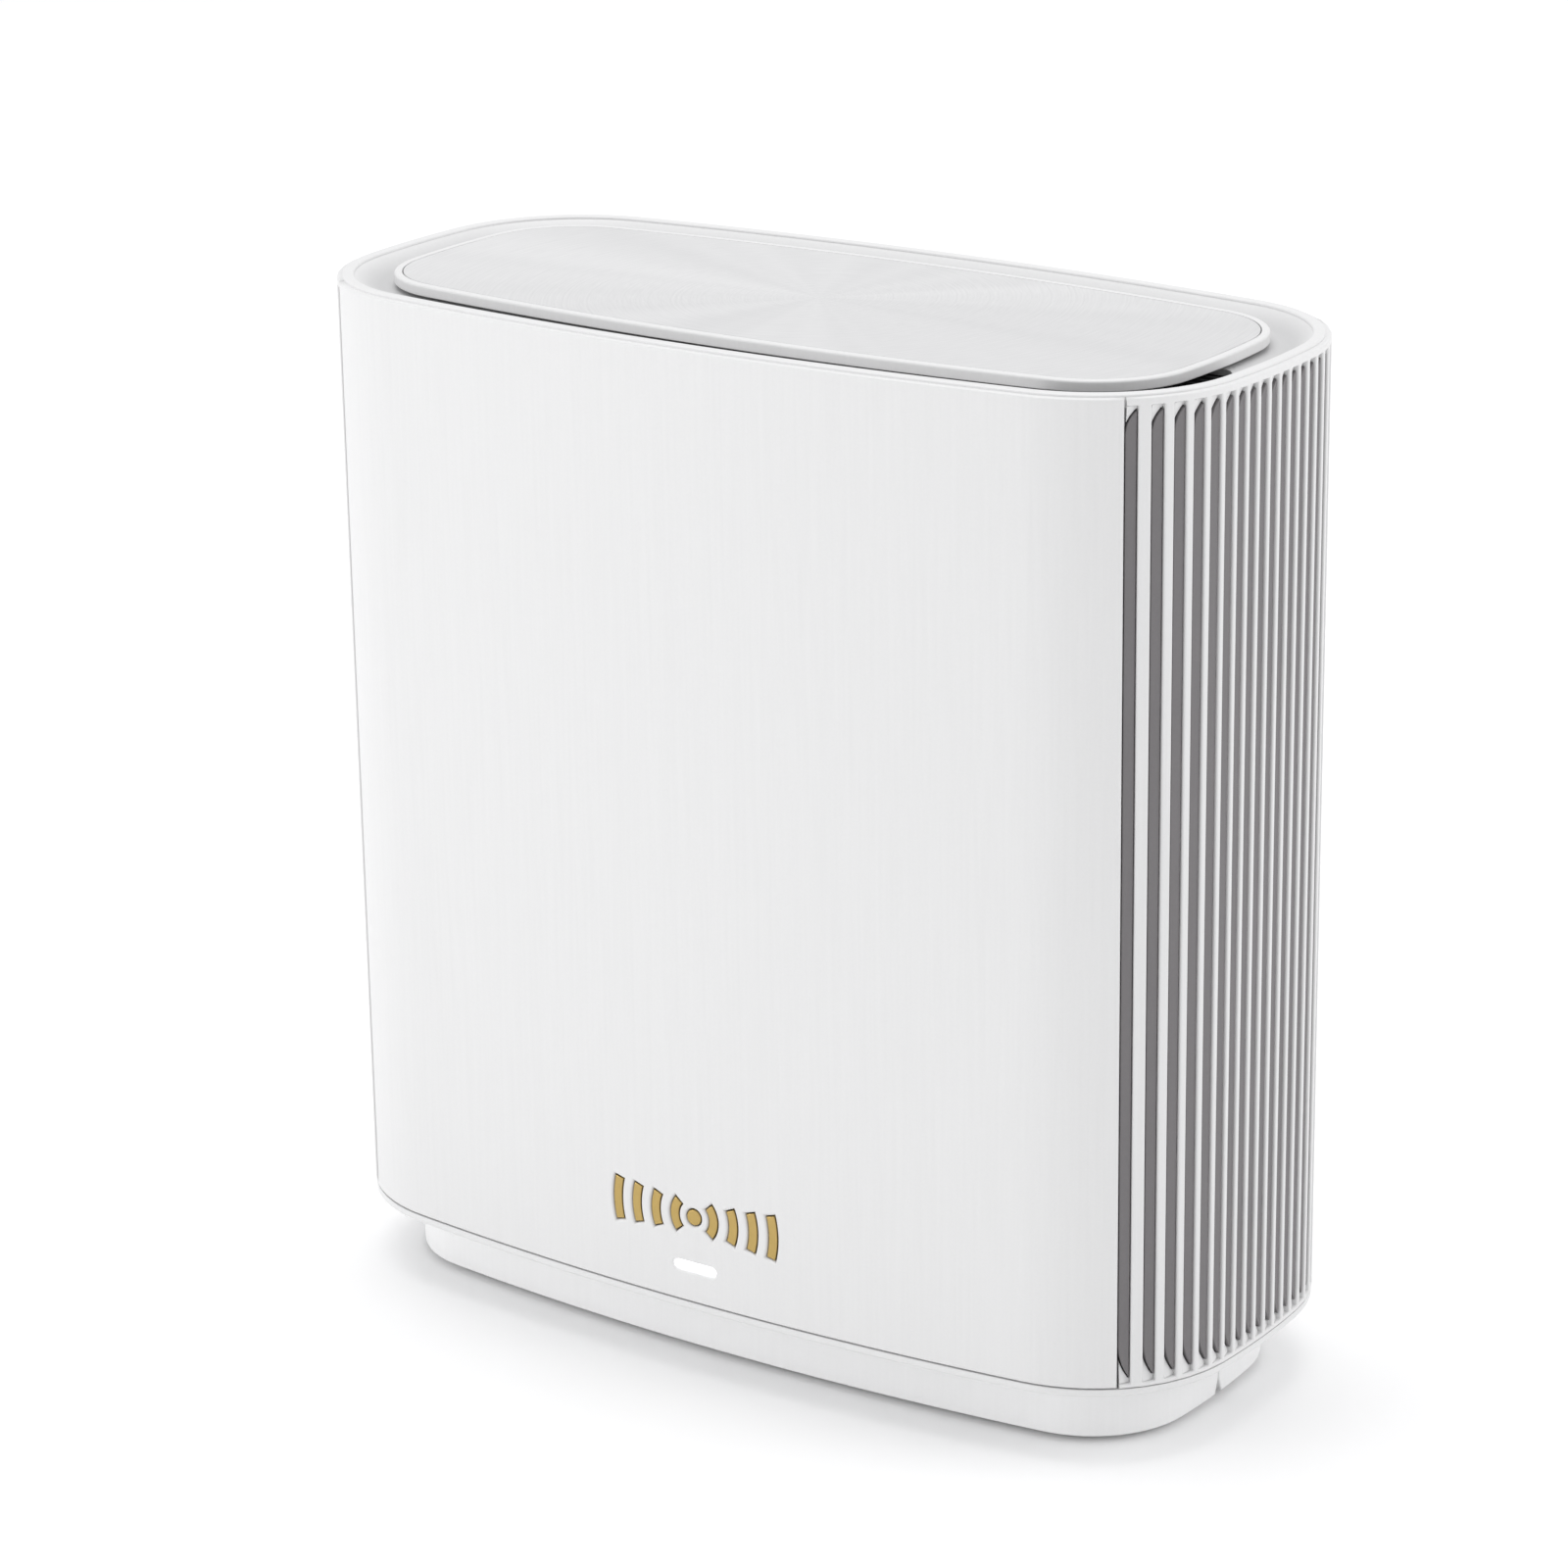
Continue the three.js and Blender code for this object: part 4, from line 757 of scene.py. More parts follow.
def outline_stations(longest=2.0):
    """Evenly spaced distances round the whole outline, no further apart than this."""
    count = math.ceil(4 * outline.quarter / longest)
    return [4 * outline.quarter * index / count for index in range(count)]


def add_strips(faces, count, size, closed=True):
    """Faces between neighbouring sections, each of which has this many points, and round to the first."""
    for here in range(count):
        first, second = here * size, (here + 1) % count * size
        for index in range(size if closed else size - 1):
            following = (index + 1) % size
            faces.append((first + index, second + index, second + following, first + following))


def swept_ring(name, corners, material, **extra):
    """A section carried round the outline. Its first coordinate is how far in, its second the height."""
    profile = []
    for before, here, after in zip(corners[-1:] + corners[:-1], corners, corners[1:] + corners[:1]):
        profile += rounded_corner(before, here, after)
    points, normals, faces = [], [], []
    stations = outline_stations()
    for along in stations:
        for (inset, height), lean in profile:
            point, outward = outline.at(along, inset)
            points.append((point.x, point.y, height))
            normals.append((-outward.x * lean.x, -outward.y * lean.x, lean.y))
    add_strips(faces, len(stations), len(profile))
    return make_mesh(name, points, normals, faces, material, **extra)


# %% Base lip
LIP_IN = 0.1
swept_ring(
    "base_lip",
    [(LIP_IN, body_low, EDGE_ROUND), (WALL, body_low, 0.1), (WALL, LIP_TOP, 0.05), (LIP_IN, LIP_TOP, 0.12)],
    shell_white, slot="satin_white",
)
print("base lip top at %.2f mm" % LIP_TOP)

# %% Rear cover
bay_low, bay_high = box_mm("port_bay")
rear_middle = 2 * outline.quarter


def rear_window(grow, radius):
    """The port bay's mouth, as a loop round the rear wall. Seen from behind, +X is on the left."""
    right = outline.along_at_x(bay_high[0] + grow)
    left = outline.along_at_x(-bay_low[0] + grow)
    return rectangle(rear_middle - right, bay_low[2] - grow, rear_middle + left, bay_high[2] + grow, radius)


rear_cover = moulding(
    "rear_cover_shell",
    rectangle(rear_middle - cover_edge, LIP_TOP + SEAM, rear_middle + cover_edge, cover_top),
    [rear_window(GAP, 2.2)],
    WALL, EDGE_ROUND, wall_surface(), shell_white, longest=2.5, step=(3.0, 6.0),
    slot="satin_white", stands_for="rear_cover",
)
print("rear cover", len(rear_cover.data.vertices), "vertices")

# %% [markdown]
# ## Side grilles
# Each end is a C-shaped panel with twenty tall slots. A slot's window is square-cornered, but a
# small scooped ramp fills the near corner at both ends, so what shows dark is a long blade with
# its tip towards the rear. The right panel is built once; the left one is its mirror image.

# %% Slot windows and blades
RAMP_DROP = 0.45
BLADE_PARTS = 8


def blade_curve(place, grow, upper, start=None):
    """Points along a blade's curved end, from its near edge, or from start, to its tip."""
    rise = SLOT_RISE_TOP if upper else SLOT_RISE_FOOT
    bend = (rise ** 2 + SLOT_WIDTH ** 2) / (2 * SLOT_WIDTH)
    radius = bend + grow
    centre = place - SLOT_WIDTH / 2 + bend
    level = SLOT_HIGH - rise if upper else SLOT_LOW + rise
    sweep = math.acos((centre - place - SLOT_WIDTH / 2 - grow) / radius)
    first = 0.0 if start is None else math.acos(min(1.0, (centre - start) / radius))
    turns = [first + (sweep - first) * index / BLADE_PARTS for index in range(BLADE_PARTS + 1)]
    side = 1 if upper else -1
    return [(centre - radius * math.cos(turn), level + side * radius * math.sin(turn)) for turn in turns]


def blade_loop(place, grow):
    return blade_curve(place, grow, False) + blade_curve(place, grow, True)[::-1]


def slot_window(place):
    near, far = place - SLOT_WIDTH / 2, place + SLOT_WIDTH / 2
    return rectangle(near, SLOT_LOW - RAMP_DROP, far, SLOT_HIGH + RAMP_DROP, 0.12, 2)


def grille_outline():
    """The panel's edge, with the first and last windows let into its two sides."""
    near, far = cover_edge + GAP, rear_middle - cover_edge - GAP
    low, high = LIP_TOP + SEAM, cover_top
    window_low, window_high = SLOT_LOW - RAMP_DROP, SLOT_HIGH + RAMP_DROP
    first_far = slot_places[0] + SLOT_WIDTH / 2
    last_near = slot_places[-1] - SLOT_WIDTH / 2
    return [
        (near, low), (far, low), (far, window_low), (last_near, window_low), (last_near, window_high),
        (far, window_high), (far, high), (near, high), (near, window_high), (first_far, window_high),
        (first_far, window_low), (near, window_low),
    ]


def mirrored(name, piece, slot, stands_for=None):
    """The same piece on the other end, with its faces and normals turned over too."""
    mesh = piece.data
    points = [(-spot.co.x / MM, spot.co.y / MM, spot.co.z / MM) for spot in mesh.vertices]
    normals = [None] * len(points)
    for loop, corner in zip(mesh.loops, mesh.corner_normals):
        normals[loop.vertex_index] = (-corner.vector.x, corner.vector.y, corner.vector.z)
    faces = [tuple(face.vertices) for face in mesh.polygons]
    return make_mesh(name, points, normals, faces, mesh.materials[0], slot=slot, stands_for=stands_for)


# %% Grille panels
grille_right = moulding(
    "side_grille_shell_right", grille_outline(), [slot_window(place) for place in slot_places[1:-1]],
    WALL, 0.32, wall_surface(), shell_white, longest=4.0, step=(3.0, 1.2),
    slot="satin_white", stands_for="side_grille_right",
)
mirrored("side_grille_shell_left", grille_right, "satin_white", "side_grille_left")
print("grille panel", len(grille_right.data.vertices), "vertices")

# %% Scooped ramps in the slot ends
RAMP_START = 0.16
RAMP_UP = 0.22
RAMP_ACROSS = 0.33


def ramp_surface(near, corner, side):
    """The wall's surface, sunk more the further a point is from the window's near corner."""
    wall = wall_surface()

    def surface(u, v, deep):
        sunk = RAMP_START + RAMP_UP * abs(v - corner) + RAMP_ACROSS * (u - near)
        place, along, up, out = wall(u, v, deep + sunk)
        tilted = (out + up * (side * RAMP_UP) + along * RAMP_ACROSS).normalized()
        return place, along, up, tilted

    return surface


def slot_ramp(number, place, upper):
    near, far = place - SLOT_WIDTH / 2 + 0.01, place + SLOT_WIDTH / 2 - 0.01
    if number == 0:
        near += GAP
    corner = SLOT_HIGH + RAMP_DROP if upper else SLOT_LOW - RAMP_DROP
    curve = [point for point in blade_curve(place, 0.05, upper, near) if point[0] <= far]
    loop = [(near, corner), (far, corner), (far, curve[-1][1])] + curve[::-1]
    name = "slot_ramp_%d_%s" % (number + 1, "top" if upper else "foot")
    surface = ramp_surface(near, corner, -1 if upper else 1)
    return moulding(
        name, loop, [], WALL - 0.8, 0.05, surface, shell_white, longest=1.0, step=(0.8, 0.8),
        segments=1, slot="satin_white",
    )


for number, place in enumerate(slot_places):
    for upper in (False, True):
        ramp = slot_ramp(number, place, upper)
        mirrored(ramp.name + "_left", ramp, "satin_white")
print("ramps:", 4 * SLOT_COUNT)

# %% [markdown]
# Behind each panel stands a dark grey liner. It is a thin plate with a rib in every slot that
# comes almost flush with the outside, so the slots read as solid dark stripes rather than as
# holes. Each rib is a little narrower than its slot, which leaves a bright line of wall beside it.

# %% Grille liners
RIB_RECESS = 0.40
RIB_CLEAR = 0.16
RIB_SUNK_IN = 0.6
LINER_INSIDE = 1.0
liner_low, liner_high = box_mm("grille_liner_right")


def grille_liner():
    near, far = cover_edge + LINER_INSIDE, rear_middle - cover_edge - LINER_INSIDE
    plate = moulding(
        "grille_liner_plate", rectangle(near, liner_low[2], far, liner_high[2]), [],
        1.2, 0.1, wall_surface(WALL + GAP), liner_grey, longest=4.0, step=(4.0, 12.0), segments=1,
    )
    ribs = [
        moulding(
            "grille_rib", blade_loop(place, -RIB_CLEAR), [], WALL + RIB_SUNK_IN - RIB_RECESS, 0.12,
            wall_surface(RIB_RECESS), liner_grey, longest=4.0, step=(0.8, 6.0), segments=2,
        )
        for place in slot_places
    ]
    return joined("grille_liner_blades_right", [plate] + ribs, "grille_liner_right")


liner_right = grille_liner()
mirrored("grille_liner_blades_left", liner_right, "liner_grey", "grille_liner_left")
print("liner", len(liner_right.data.vertices), "vertices")

# %% [markdown]
# ## Rim, vent and lid
# The top is a shallow tray. A flat rim runs round it just inside the covers. Inside the rim the
# tray falls away in a soft bowl and runs on under the lid. At one front corner the bowl is left
# open as a dark vent, and two more rows of vents hide under the lid. The lid stands on hidden
# posts with the moat all round it, so warm air leaves without a single hole showing in the lid.

# %% Rim
RIM_OUT = 0.9
RIM_IN = 2.8
DECK_LOW = box_mm("top_deck")[0][2]
RIM_DEEP = 2.0
RIM_SKIRT = 1.0
swept_ring(
    "top_rim",
    [(RIM_IN - RIM_SKIRT, top - RIM_DEEP, 0.1), (RIM_IN - RIM_SKIRT, DECK_LOW, 0.1), (RIM_IN, DECK_LOW, 0.1),
     (RIM_IN, top, 0.4), (RIM_OUT, top, 0.35), (RIM_OUT, top - RIM_DEEP, 0.05)],
    shell_white, slot="satin_white", stands_for="top_deck",
)
print("rim from %.1f to %.1f mm in" % (RIM_OUT, RIM_IN))

# %% Moat bowl
BOWL_FLOOR = top - 2.35
BOWL_RUN = 4.4
BOWL_START = top - 0.42
BOWL_UNDER = 15.0
VENT_START = 96.0
VENT_STOP = 57.0
VENT_SLANT = 8.0
UNDER_VENT_HALF = 56.0
UNDER_VENT_EDGE = 13.2
UNDER_VENT_BLEND = 6.0
# The moat's white carries painted shade that darkens towards the bowl's floor.
moat_shaded_white = satin_white("satin_white_moat_painted_shade", 0.67, 0.73, painted_shade_heights=(BOWL_START, BOWL_FLOOR))


def bowl_section(run):
    """Height and slope of the bowl this far in from the outline: steep at the rim, then level."""
    drop = BOWL_START - BOWL_FLOOR
    share = min(1.0, max(0.0, (run - RIM_IN) / BOWL_RUN))
    turn = share * math.pi / 2
    slope = drop * math.cos(turn) * math.pi / 2 / BOWL_RUN if share < 1 else 0.0
    return BOWL_START - drop * math.sin(turn), slope


def bowl_reach(along):
    """How far in the bowl goes: well under the lid, and less where the hidden vents open below it."""
    quarter = outline.quarter
    from_side = min(abs(along - 2 * quarter), abs(along - 4 * quarter))
    blend = min(1.0, max(0.0, (from_side - UNDER_VENT_HALF) / UNDER_VENT_BLEND + 1))
    return UNDER_VENT_EDGE + (BOWL_UNDER - UNDER_VENT_EDGE) * blend * blend * (3 - 2 * blend)


def moat_bowl():
    """One strip from the right end, behind the lid and on round to the front right corner."""
    columns, rows = 300, 12
    last = 4 * outline.quarter + VENT_STOP
    points, normals, faces = [], [], []
    for layer in (0, 1):
        for row in range(rows + 1):
            share = (row / rows) ** 1.4
            for column in range(columns + 1):
                first = VENT_START + VENT_SLANT * min(1.0, share * 2)
                along = first + (last - first) * column / columns
                run = RIM_IN - 0.05 + (bowl_reach(along) - RIM_IN) * share
                point, outward = outline.at(along, run)
                height, slope = bowl_section(run)
                points.append((point.x, point.y, height - layer))
                lift = Vector((-outward.x * slope, -outward.y * slope, 1)).normalized()
                normals.append(tuple(lift * (1 - 2 * layer)))
    size = columns + 1
    sheet = size * (rows + 1)
    for layer in (0, sheet):
        for row in range(rows):
            for column in range(columns):
                corner = layer + row * size + column
                faces.append((corner, corner + 1, corner + size + 1, corner + size))
    border = list(range(size)) + [row * size + columns for row in range(1, rows + 1)]
    border += [rows * size + column for column in range(columns - 1, -1, -1)]
    border += [row * size for row in range(rows - 1, 0, -1)]
    for here, after in zip(border, border[1:] + border[:1]):
        edge = Vector(points[after]) - Vector(points[here])
        away = Vector((edge.y, -edge.x, 0)).normalized()
        start = len(points)
        points += [points[here], points[after], points[after + sheet], points[here + sheet]]
        normals += [tuple(away)] * 4
        faces.append((start, start + 1, start + 2, start + 3))
    return make_mesh("moat_bowl", points, normals, faces, moat_shaded_white, slot="satin_white")


moat_bowl()
print("bowl floor at %.1f mm" % BOWL_FLOOR)

# %% Vent louvres and the dark well under them, both painted shade
LOUVRE_PITCH = 2.4
LOUVRE_HEIGHTS = (top - 2.7, top - 4.3)
LOUVRE_WIDTH = 0.8
LOUVRE_END = BOWL_UNDER + 6.0


def louvre_rows():
    """Thin fins across the corner vent and across the two vents under the lid."""
    points, normals, faces = [], [], []
    rows = [(VENT_STOP, VENT_START + VENT_SLANT, RIM_IN - 0.1)]
    for middle in (0.0, rear_middle):
        rows.append((middle - UNDER_VENT_HALF, middle + UNDER_VENT_HALF, UNDER_VENT_EDGE))
    for first, last, near in rows:
        for index in range(1, int((last - first) / LOUVRE_PITCH)):
            corners = []
            for inset, side in ((near, -1), (near, 1), (LOUVRE_END, 1), (LOUVRE_END, -1)):
                point, outward = outline.at(first + index * LOUVRE_PITCH, inset)
                corners.append(point + Vector((-outward.y, outward.x)) * side * LOUVRE_WIDTH / 2)
            ends = [[Vector((*corner, height)) for corner in corners] for height in LOUVRE_HEIGHTS]
            add_block(points, normals, faces, *ends)
    return make_mesh("vent_louvres", points, normals, faces, vent_painted_shade, slot="liner_grey")


louvres = louvre_rows()
print("louvres", len(louvres.data.polygons), "faces")


def plan_loop(inset):
    """The outline at some inset, as a loop seen from above."""
    return [tuple(outline.at(along, inset)[0]) for along in outline_stations()]


def looking_up(height):
    return flat_surface((0, 0, height), (1, 0, 0), (0, 1, 0))


# A near-black sheet across the whole deck: painted shade that makes the vent openings read dark.
moulding(
    "vent_well", plan_loop(RIM_IN + 0.1), [], 0.6, 0.1, looking_up(DECK_LOW + 0.8),
    vent_painted_shade, longest=4.0, step=(12.0, 12.0), segments=1, slot="liner_grey",
)

# %% Lid frame and spun plate
LID_IN = 9.0
LID_EDGE = 1.25
LID_LEDGE = 6.0
LID_GROOVE = 0.16
ledge_top = top - 0.9
lid_under = box_mm("lid_frame")[1][2] - 1.75
swept_ring(
    "lid_frame_band",
    [(LID_IN, lid_under, 0.25), (LID_IN + LID_LEDGE, lid_under, 0.2), (LID_IN + LID_LEDGE, ledge_top, 0.1),
     (LID_IN + LID_EDGE, ledge_top, 0.05), (LID_IN + LID_EDGE, top, 0.12), (LID_IN, top, 0.42)],
    shell_white, slot="satin_white", stands_for="lid_frame",
)
lid_plate = moulding(
    "lid_plate_spun", plan_loop(LID_IN + LID_EDGE + LID_GROOVE), [], 0.8, 0.14, looking_up(top - 0.02),
    lid_grey, longest=3.0, step=(6.0, 6.0), slot="spun_lid", stands_for="lid_plate",
)
print("lid plate", len(lid_plate.data.vertices), "vertices")

# %% [markdown]
# ## Mark and status light
# The mark's strokes are gold-plated inlays. They stand almost flush in their windows, with a hair
# of shadow round each one. The light is a short bar of frosted plastic, lit from behind.

# %% Gold inlays
RECESS = 0.12
strokes = [
    moulding(
        "mark_stroke", stroke, [], 1.6, 0.16, wall_surface(RECESS), badge_gold, longest=0.8, step=(0.7, 0.7),
    )
    for stroke in mark_strokes(0.0)
]
print("mark strokes:", len(strokes))
joined("front_mark_inlay", strokes, "front_mark")
backing = centred(0, MARK_LEVEL, MARK_HALF_WIDTH + 0.9, MARK_HALF_HEIGHT + 0.95, 1.0)
moulding(
    "mark_backing", backing, [], 0.8, 0.1, wall_surface(1.6), badge_gold,
    longest=3.0, step=(3.0, 3.0), segments=1, slot="gold",
)

# %% Status light
def lit_white():
    finish = Finish("lit_white", Roughness=0.25)
    frost = finish.noise(1500.0, detail=2.0)
    glow = finish.mix(frost, rgba(0.97, 0.98, 1.0), grey(1.0))
    finish.feed(Base_Color=glow, Emission_Color=glow, Normal=finish.bump(frost, 0.1, 0.00003))
    finish.shader.inputs["Emission Strength"].default_value = 0.9
    return finish.material


light_white = lit_white()
light_bar = moulding(
    "status_light", light_outline(0.0), [], 2.4, 0.12, wall_surface(0.02), light_white,
    longest=0.6, step=(0.8, 0.5), slot="light_white", stands_for="light_guide",
)
print("status light", light_bar.name)

# %% [markdown]
# ## Plinth
# The plinth is a band set back under the body, made in a front and a rear half. They meet at the
# middle of each end in a fine seam, which opens into a small V at the bottom edge where both
# halves are chamfered.

# %% Plinth halves
PLINTH_IN = 7.8
PLINTH_WALL = 2.2
NOTCH_ACROSS = 1.05
NOTCH_RISE = 2.4
plinth_foot = box_mm("plinth_front")[0][2]


def plinth_half(name, node, middle):
    outline_points = []
    for side, end in ((1, middle + outline.quarter), (-1, middle - outline.quarter)):
        edge = [(NOTCH_ACROSS, plinth_foot), (0.14, plinth_foot + NOTCH_RISE), (0.08, body_low)]
        outline_points.append([(end - side * back, height) for back, height in edge])
    return moulding(
        name, outline_points[0] + outline_points[1][::-1], [], PLINTH_WALL, 0.3, wall_surface(PLINTH_IN),
        plinth_lit_white, longest=2.5, step=(3.0, 3.0), slot="satin_white", stands_for=node,
    )


plinth_half("plinth_band_front", "plinth_front", 0.0)
plinth_half("plinth_band_rear", "plinth_rear", rear_middle)
print("plinth from %.1f to %.1f mm" % (plinth_foot, body_low))

# %% [markdown]
# ## Round pieces
# Feet, screw heads, button caps and the plug's pin are all turned shapes: a short outline swung
# round an axis. The outline starts and ends on the axis, and the corners between are rounded the
# way the swept rings were.

# %% Turned pieces
def turned_piece(name, corners, place, axis, material, sides=48, segments=4, **extra):
    """A round piece from (radius, distance along the axis, rounding) corners. The first and last are
    on the axis, which starts at place."""
    place, axis = Vector(place), Vector(axis).normalized()
    side = axis.orthogonal().normalized()
    other = axis.cross(side)
    profile = []
    for before, here, after in zip(corners, corners[1:], corners[2:]):
        profile += rounded_corner(before, here, after, segments)
    points, normals, faces = [], [], []
    for turn in range(sides):
        angle = 2 * math.pi * turn / sides
        spoke = side * math.cos(angle) + other * math.sin(angle)
        for spot, lean in profile:
            points.append(tuple(place + spoke * spot.x + axis * spot.y))
            normals.append(tuple(spoke * lean.x + axis * lean.y))
    size = len(profile)
    add_strips(faces, sides, size, closed=False)
    upward = 1 if corners[0][1] > corners[-1][1] else -1
    for corner, facing, index in ((corners[0], upward, 0), (corners[-1], -upward, size - 1)):
        points.append(tuple(place + axis * corner[1]))
        normals.append(tuple(axis * facing))
        for turn in range(sides):
            faces.append((turn * size + index, (turn + 1) % sides * size + index, len(points) - 1))
    return make_mesh(name, points, normals, faces, material, **extra)


def centre_of(node):
    low, high = box_mm(node)
    return [(a + b) / 2 for a, b in zip(low, high)]


# %% [markdown]
# ## Underside
# The bottom plate fills the plinth. Rows of slots let cool air in, four rubber feet stand in
# shallow pockets, and four screws sit deep in their holes. Between the slots are the two keys:
# a round cap for pairing, and a small recessed one for reset, which needs a pin.

# %% Bottom plate
plate_under = box_mm("bottom_plate")[0][2]
PLATE_IN = PLINTH_IN + PLINTH_WALL + GAP
PLATE_THICK = 2.2
INTAKES = 11
INTAKE_PITCH = 5.2
INTAKE_HALF = 0.9
INTAKE_START = 2.0
INTAKE_RUN = 16.0
CLEAR_OF_KEY = 2.4
CLEAR_OF_SCREW = 4.8
feet = ["foot_%d" % number for number in range(1, 5)]
case_screws = ["case_screw_%d" % number for number in range(1, 5)]
screw_x, screw_y = (abs(value) for value in centre_of("case_screw_1")[:2])
pairing_spot, reset_spot = centre_of("pairing_button"), centre_of("reset_button")
PAIRING_RADIUS, RESET_RADIUS = 3.0, 1.2
FOOT_RADIUS, SCREW_RADIUS = 5.0, 2.4


def intake_slots():
    slots = []
    for index in range(INTAKES):
        x = INTAKE_PITCH * (index - (INTAKES - 1) / 2)
        near_key = abs(abs(x) - abs(pairing_spot[0])) < PAIRING_RADIUS + CLEAR_OF_KEY
        near_screw = abs(abs(x) - screw_x) < CLEAR_OF_SCREW
        start = PAIRING_RADIUS + CLEAR_OF_KEY if near_key else INTAKE_START
        stop = screw_y - CLEAR_OF_SCREW if near_screw else start + INTAKE_RUN
        for side in (-1, 1):
            low, high = sorted((side * start, side * stop))
            slots.append(rectangle(x - INTAKE_HALF, low, x + INTAKE_HALF, high, INTAKE_HALF - 0.02, 4))
    return slots


def bottom_holes():
    holes = intake_slots()
    for nodes, radius, count in ((feet, FOOT_RADIUS, 40), (case_screws, SCREW_RADIUS, 28)):
        for x, y, _ in map(centre_of, nodes):
            holes.append(circle(x, -y, radius + GAP, count))
    for spot, radius, count in ((pairing_spot, PAIRING_RADIUS, 36), (reset_spot, RESET_RADIUS, 24)):
        holes.append(circle(spot[0], 0, radius + GAP, count))
    return holes


def looking_down(height):
    return flat_surface((0, 0, height), (1, 0, 0), (0, -1, 0))


bottom_plate = moulding(
    "bottom_plate_shell", plan_loop(PLATE_IN), bottom_holes(), PLATE_THICK, 0.25, looking_down(plate_under),
    bottom_white, longest=2.0, step=(4.0, 4.0), slot="satin_white", stands_for="bottom_plate",
)
print("bottom plate", len(bottom_plate.data.vertices), "vertices")

# %% Feet, pocket floors and screws
UP = (0, 0, 1)
foot_section = [
    (0, 0, 0), (3.6, 0, 0.2), (3.6, 0.22, 0.15), (4.1, 0.22, 0.15), (4.1, 0, 0.2), (FOOT_RADIUS, 0, 0.45),
    (FOOT_RADIUS, 1.5, 0.1), (0, 1.5, 0),
]
pocket_section = [(0, 1.8, 0), (5.8, 1.8, 0.05), (5.8, 2.6, 0.05), (0, 2.6, 0)]
for number, node in enumerate(feet, 1):
    x, y, _ = centre_of(node)
    turned_piece(
        "foot_pad_%d" % number, foot_section, (x, y, 0), UP, foot_rubber, slot="foot_rubber", stands_for=node,
    )
    turned_piece(
        "foot_pocket_%d" % number, pocket_section, (x, y, 0), UP, bottom_white, sides=32, segments=1,
        slot="satin_white",
    )


def cross_recess(x, y, reach, half):
    """A plus-shaped loop, for the driver."""
    return [
        (x + reach, y - half), (x + reach, y + half), (x + half, y + half), (x + half, y + reach),
        (x - half, y + reach), (x - half, y + half), (x - reach, y + half), (x - reach, y - half),
        (x - half, y - half), (x - half, y - reach), (x + half, y - reach), (x + half, y - half),
    ]


for number, node in enumerate(case_screws, 1):
    low, high = box_mm(node)
    x, y, _ = centre_of(node)
    length = high[2] - low[2]
    head = moulding(
        "case_screw_head", circle(x, -y, SCREW_RADIUS, 36), [cross_recess(x, -y, 1.15, 0.26)], 1.4, 0.38,
        looking_down(low[2]), screw_steel, longest=1.0, step=(0.6, 0.6),
    )
    shank = turned_piece(
        "case_screw_shank",
        [(0, 0.9, 0), (2.1, 0.9, 0.05), (2.1, 1.5, 0.05), (1.2, 1.5, 0.05), (1.2, length - 1, 0.1),
         (0, length, 0)],
        (x, y, low[2]), UP, screw_steel, sides=24, segments=2,
    )
    joined("case_screw_driven_%d" % number, [head, shank], node)

# %% Pairing and reset caps
def key_cap(name, node, face, material, **extra):
    """A cap and its collar from the face's corners, with a stem up to the top of the node's box."""
    low, high = box_mm(node)
    stem = [(1.4, face[-1][1], 0.1), (1.4, high[2] - low[2], 0.1), (0, high[2] - low[2], 0)]
    place = (*centre_of(node)[:2], low[2])
    return turned_piece(name, face + stem, place, UP, material, stands_for=node, **extra)


pairing_face = [
    (0, 0.18, 0), (1.5, 0.18, 0.3), (2.1, 0, 0.2), (PAIRING_RADIUS, 0, 0.3), (PAIRING_RADIUS, 2.5, 0.1),
    (3.8, 2.5, 0.1), (3.8, 3.3, 0.1),
]
reset_face = [
    (0, 0.25, 0), (0.7, 0.1, 0.2), (RESET_RADIUS, 0, 0.3), (RESET_RADIUS, 1.3, 0.1), (2.0, 1.3, 0.1),
    (2.0, 2.1, 0.1),
]
key_cap("pairing_cap", "pairing_button", pairing_face, cap_grey, body="pairing_key", slot="spun_lid")
key_cap("reset_cap", "reset_button", reset_face, jack_black, sides=32, body="reset_key", slot="bay_black")
print("caps at", [round(v, 1) for v in pairing_spot], [round(v, 1) for v in reset_spot])

# %% [markdown]
# ## Port bay
# The bay is a deep black tray let into the rear cover. Its walls follow the cover's bow at the
# mouth and are square at the floor. Seen from behind, +X is on the left, so the loops on its
# floor count across from +X to -X.

# %% Bay walls and floor
BAY_WALL = 1.6
BAY_RIM = 0.35
BAY_RIM_PARTS = 4
bay_floor_y = box_mm("port_bay")[0][1] + BAY_WALL
bay_middle = (bay_low[2] + bay_high[2]) / 2


def looking_back(y):
    """A flat face that looks towards +Y. u grows towards -X."""
    return flat_surface((0, y, 0), (-1, 0, 0), (0, 0, 1))


def mouth_at(x):
    """How far back the bay's rim reaches at this X, just inside the cover's outer face."""
    return -outline.at(outline.along_at_x(abs(x)), 0.4)[0].y


def bay_loop(inset, radius=0.0):
    """The bay's outline on its floor, moved inwards."""
    return rectangle(
        -bay_high[0] + inset, bay_low[2] + inset, -bay_low[0] - inset, bay_high[2] - inset, radius, 4,
    )


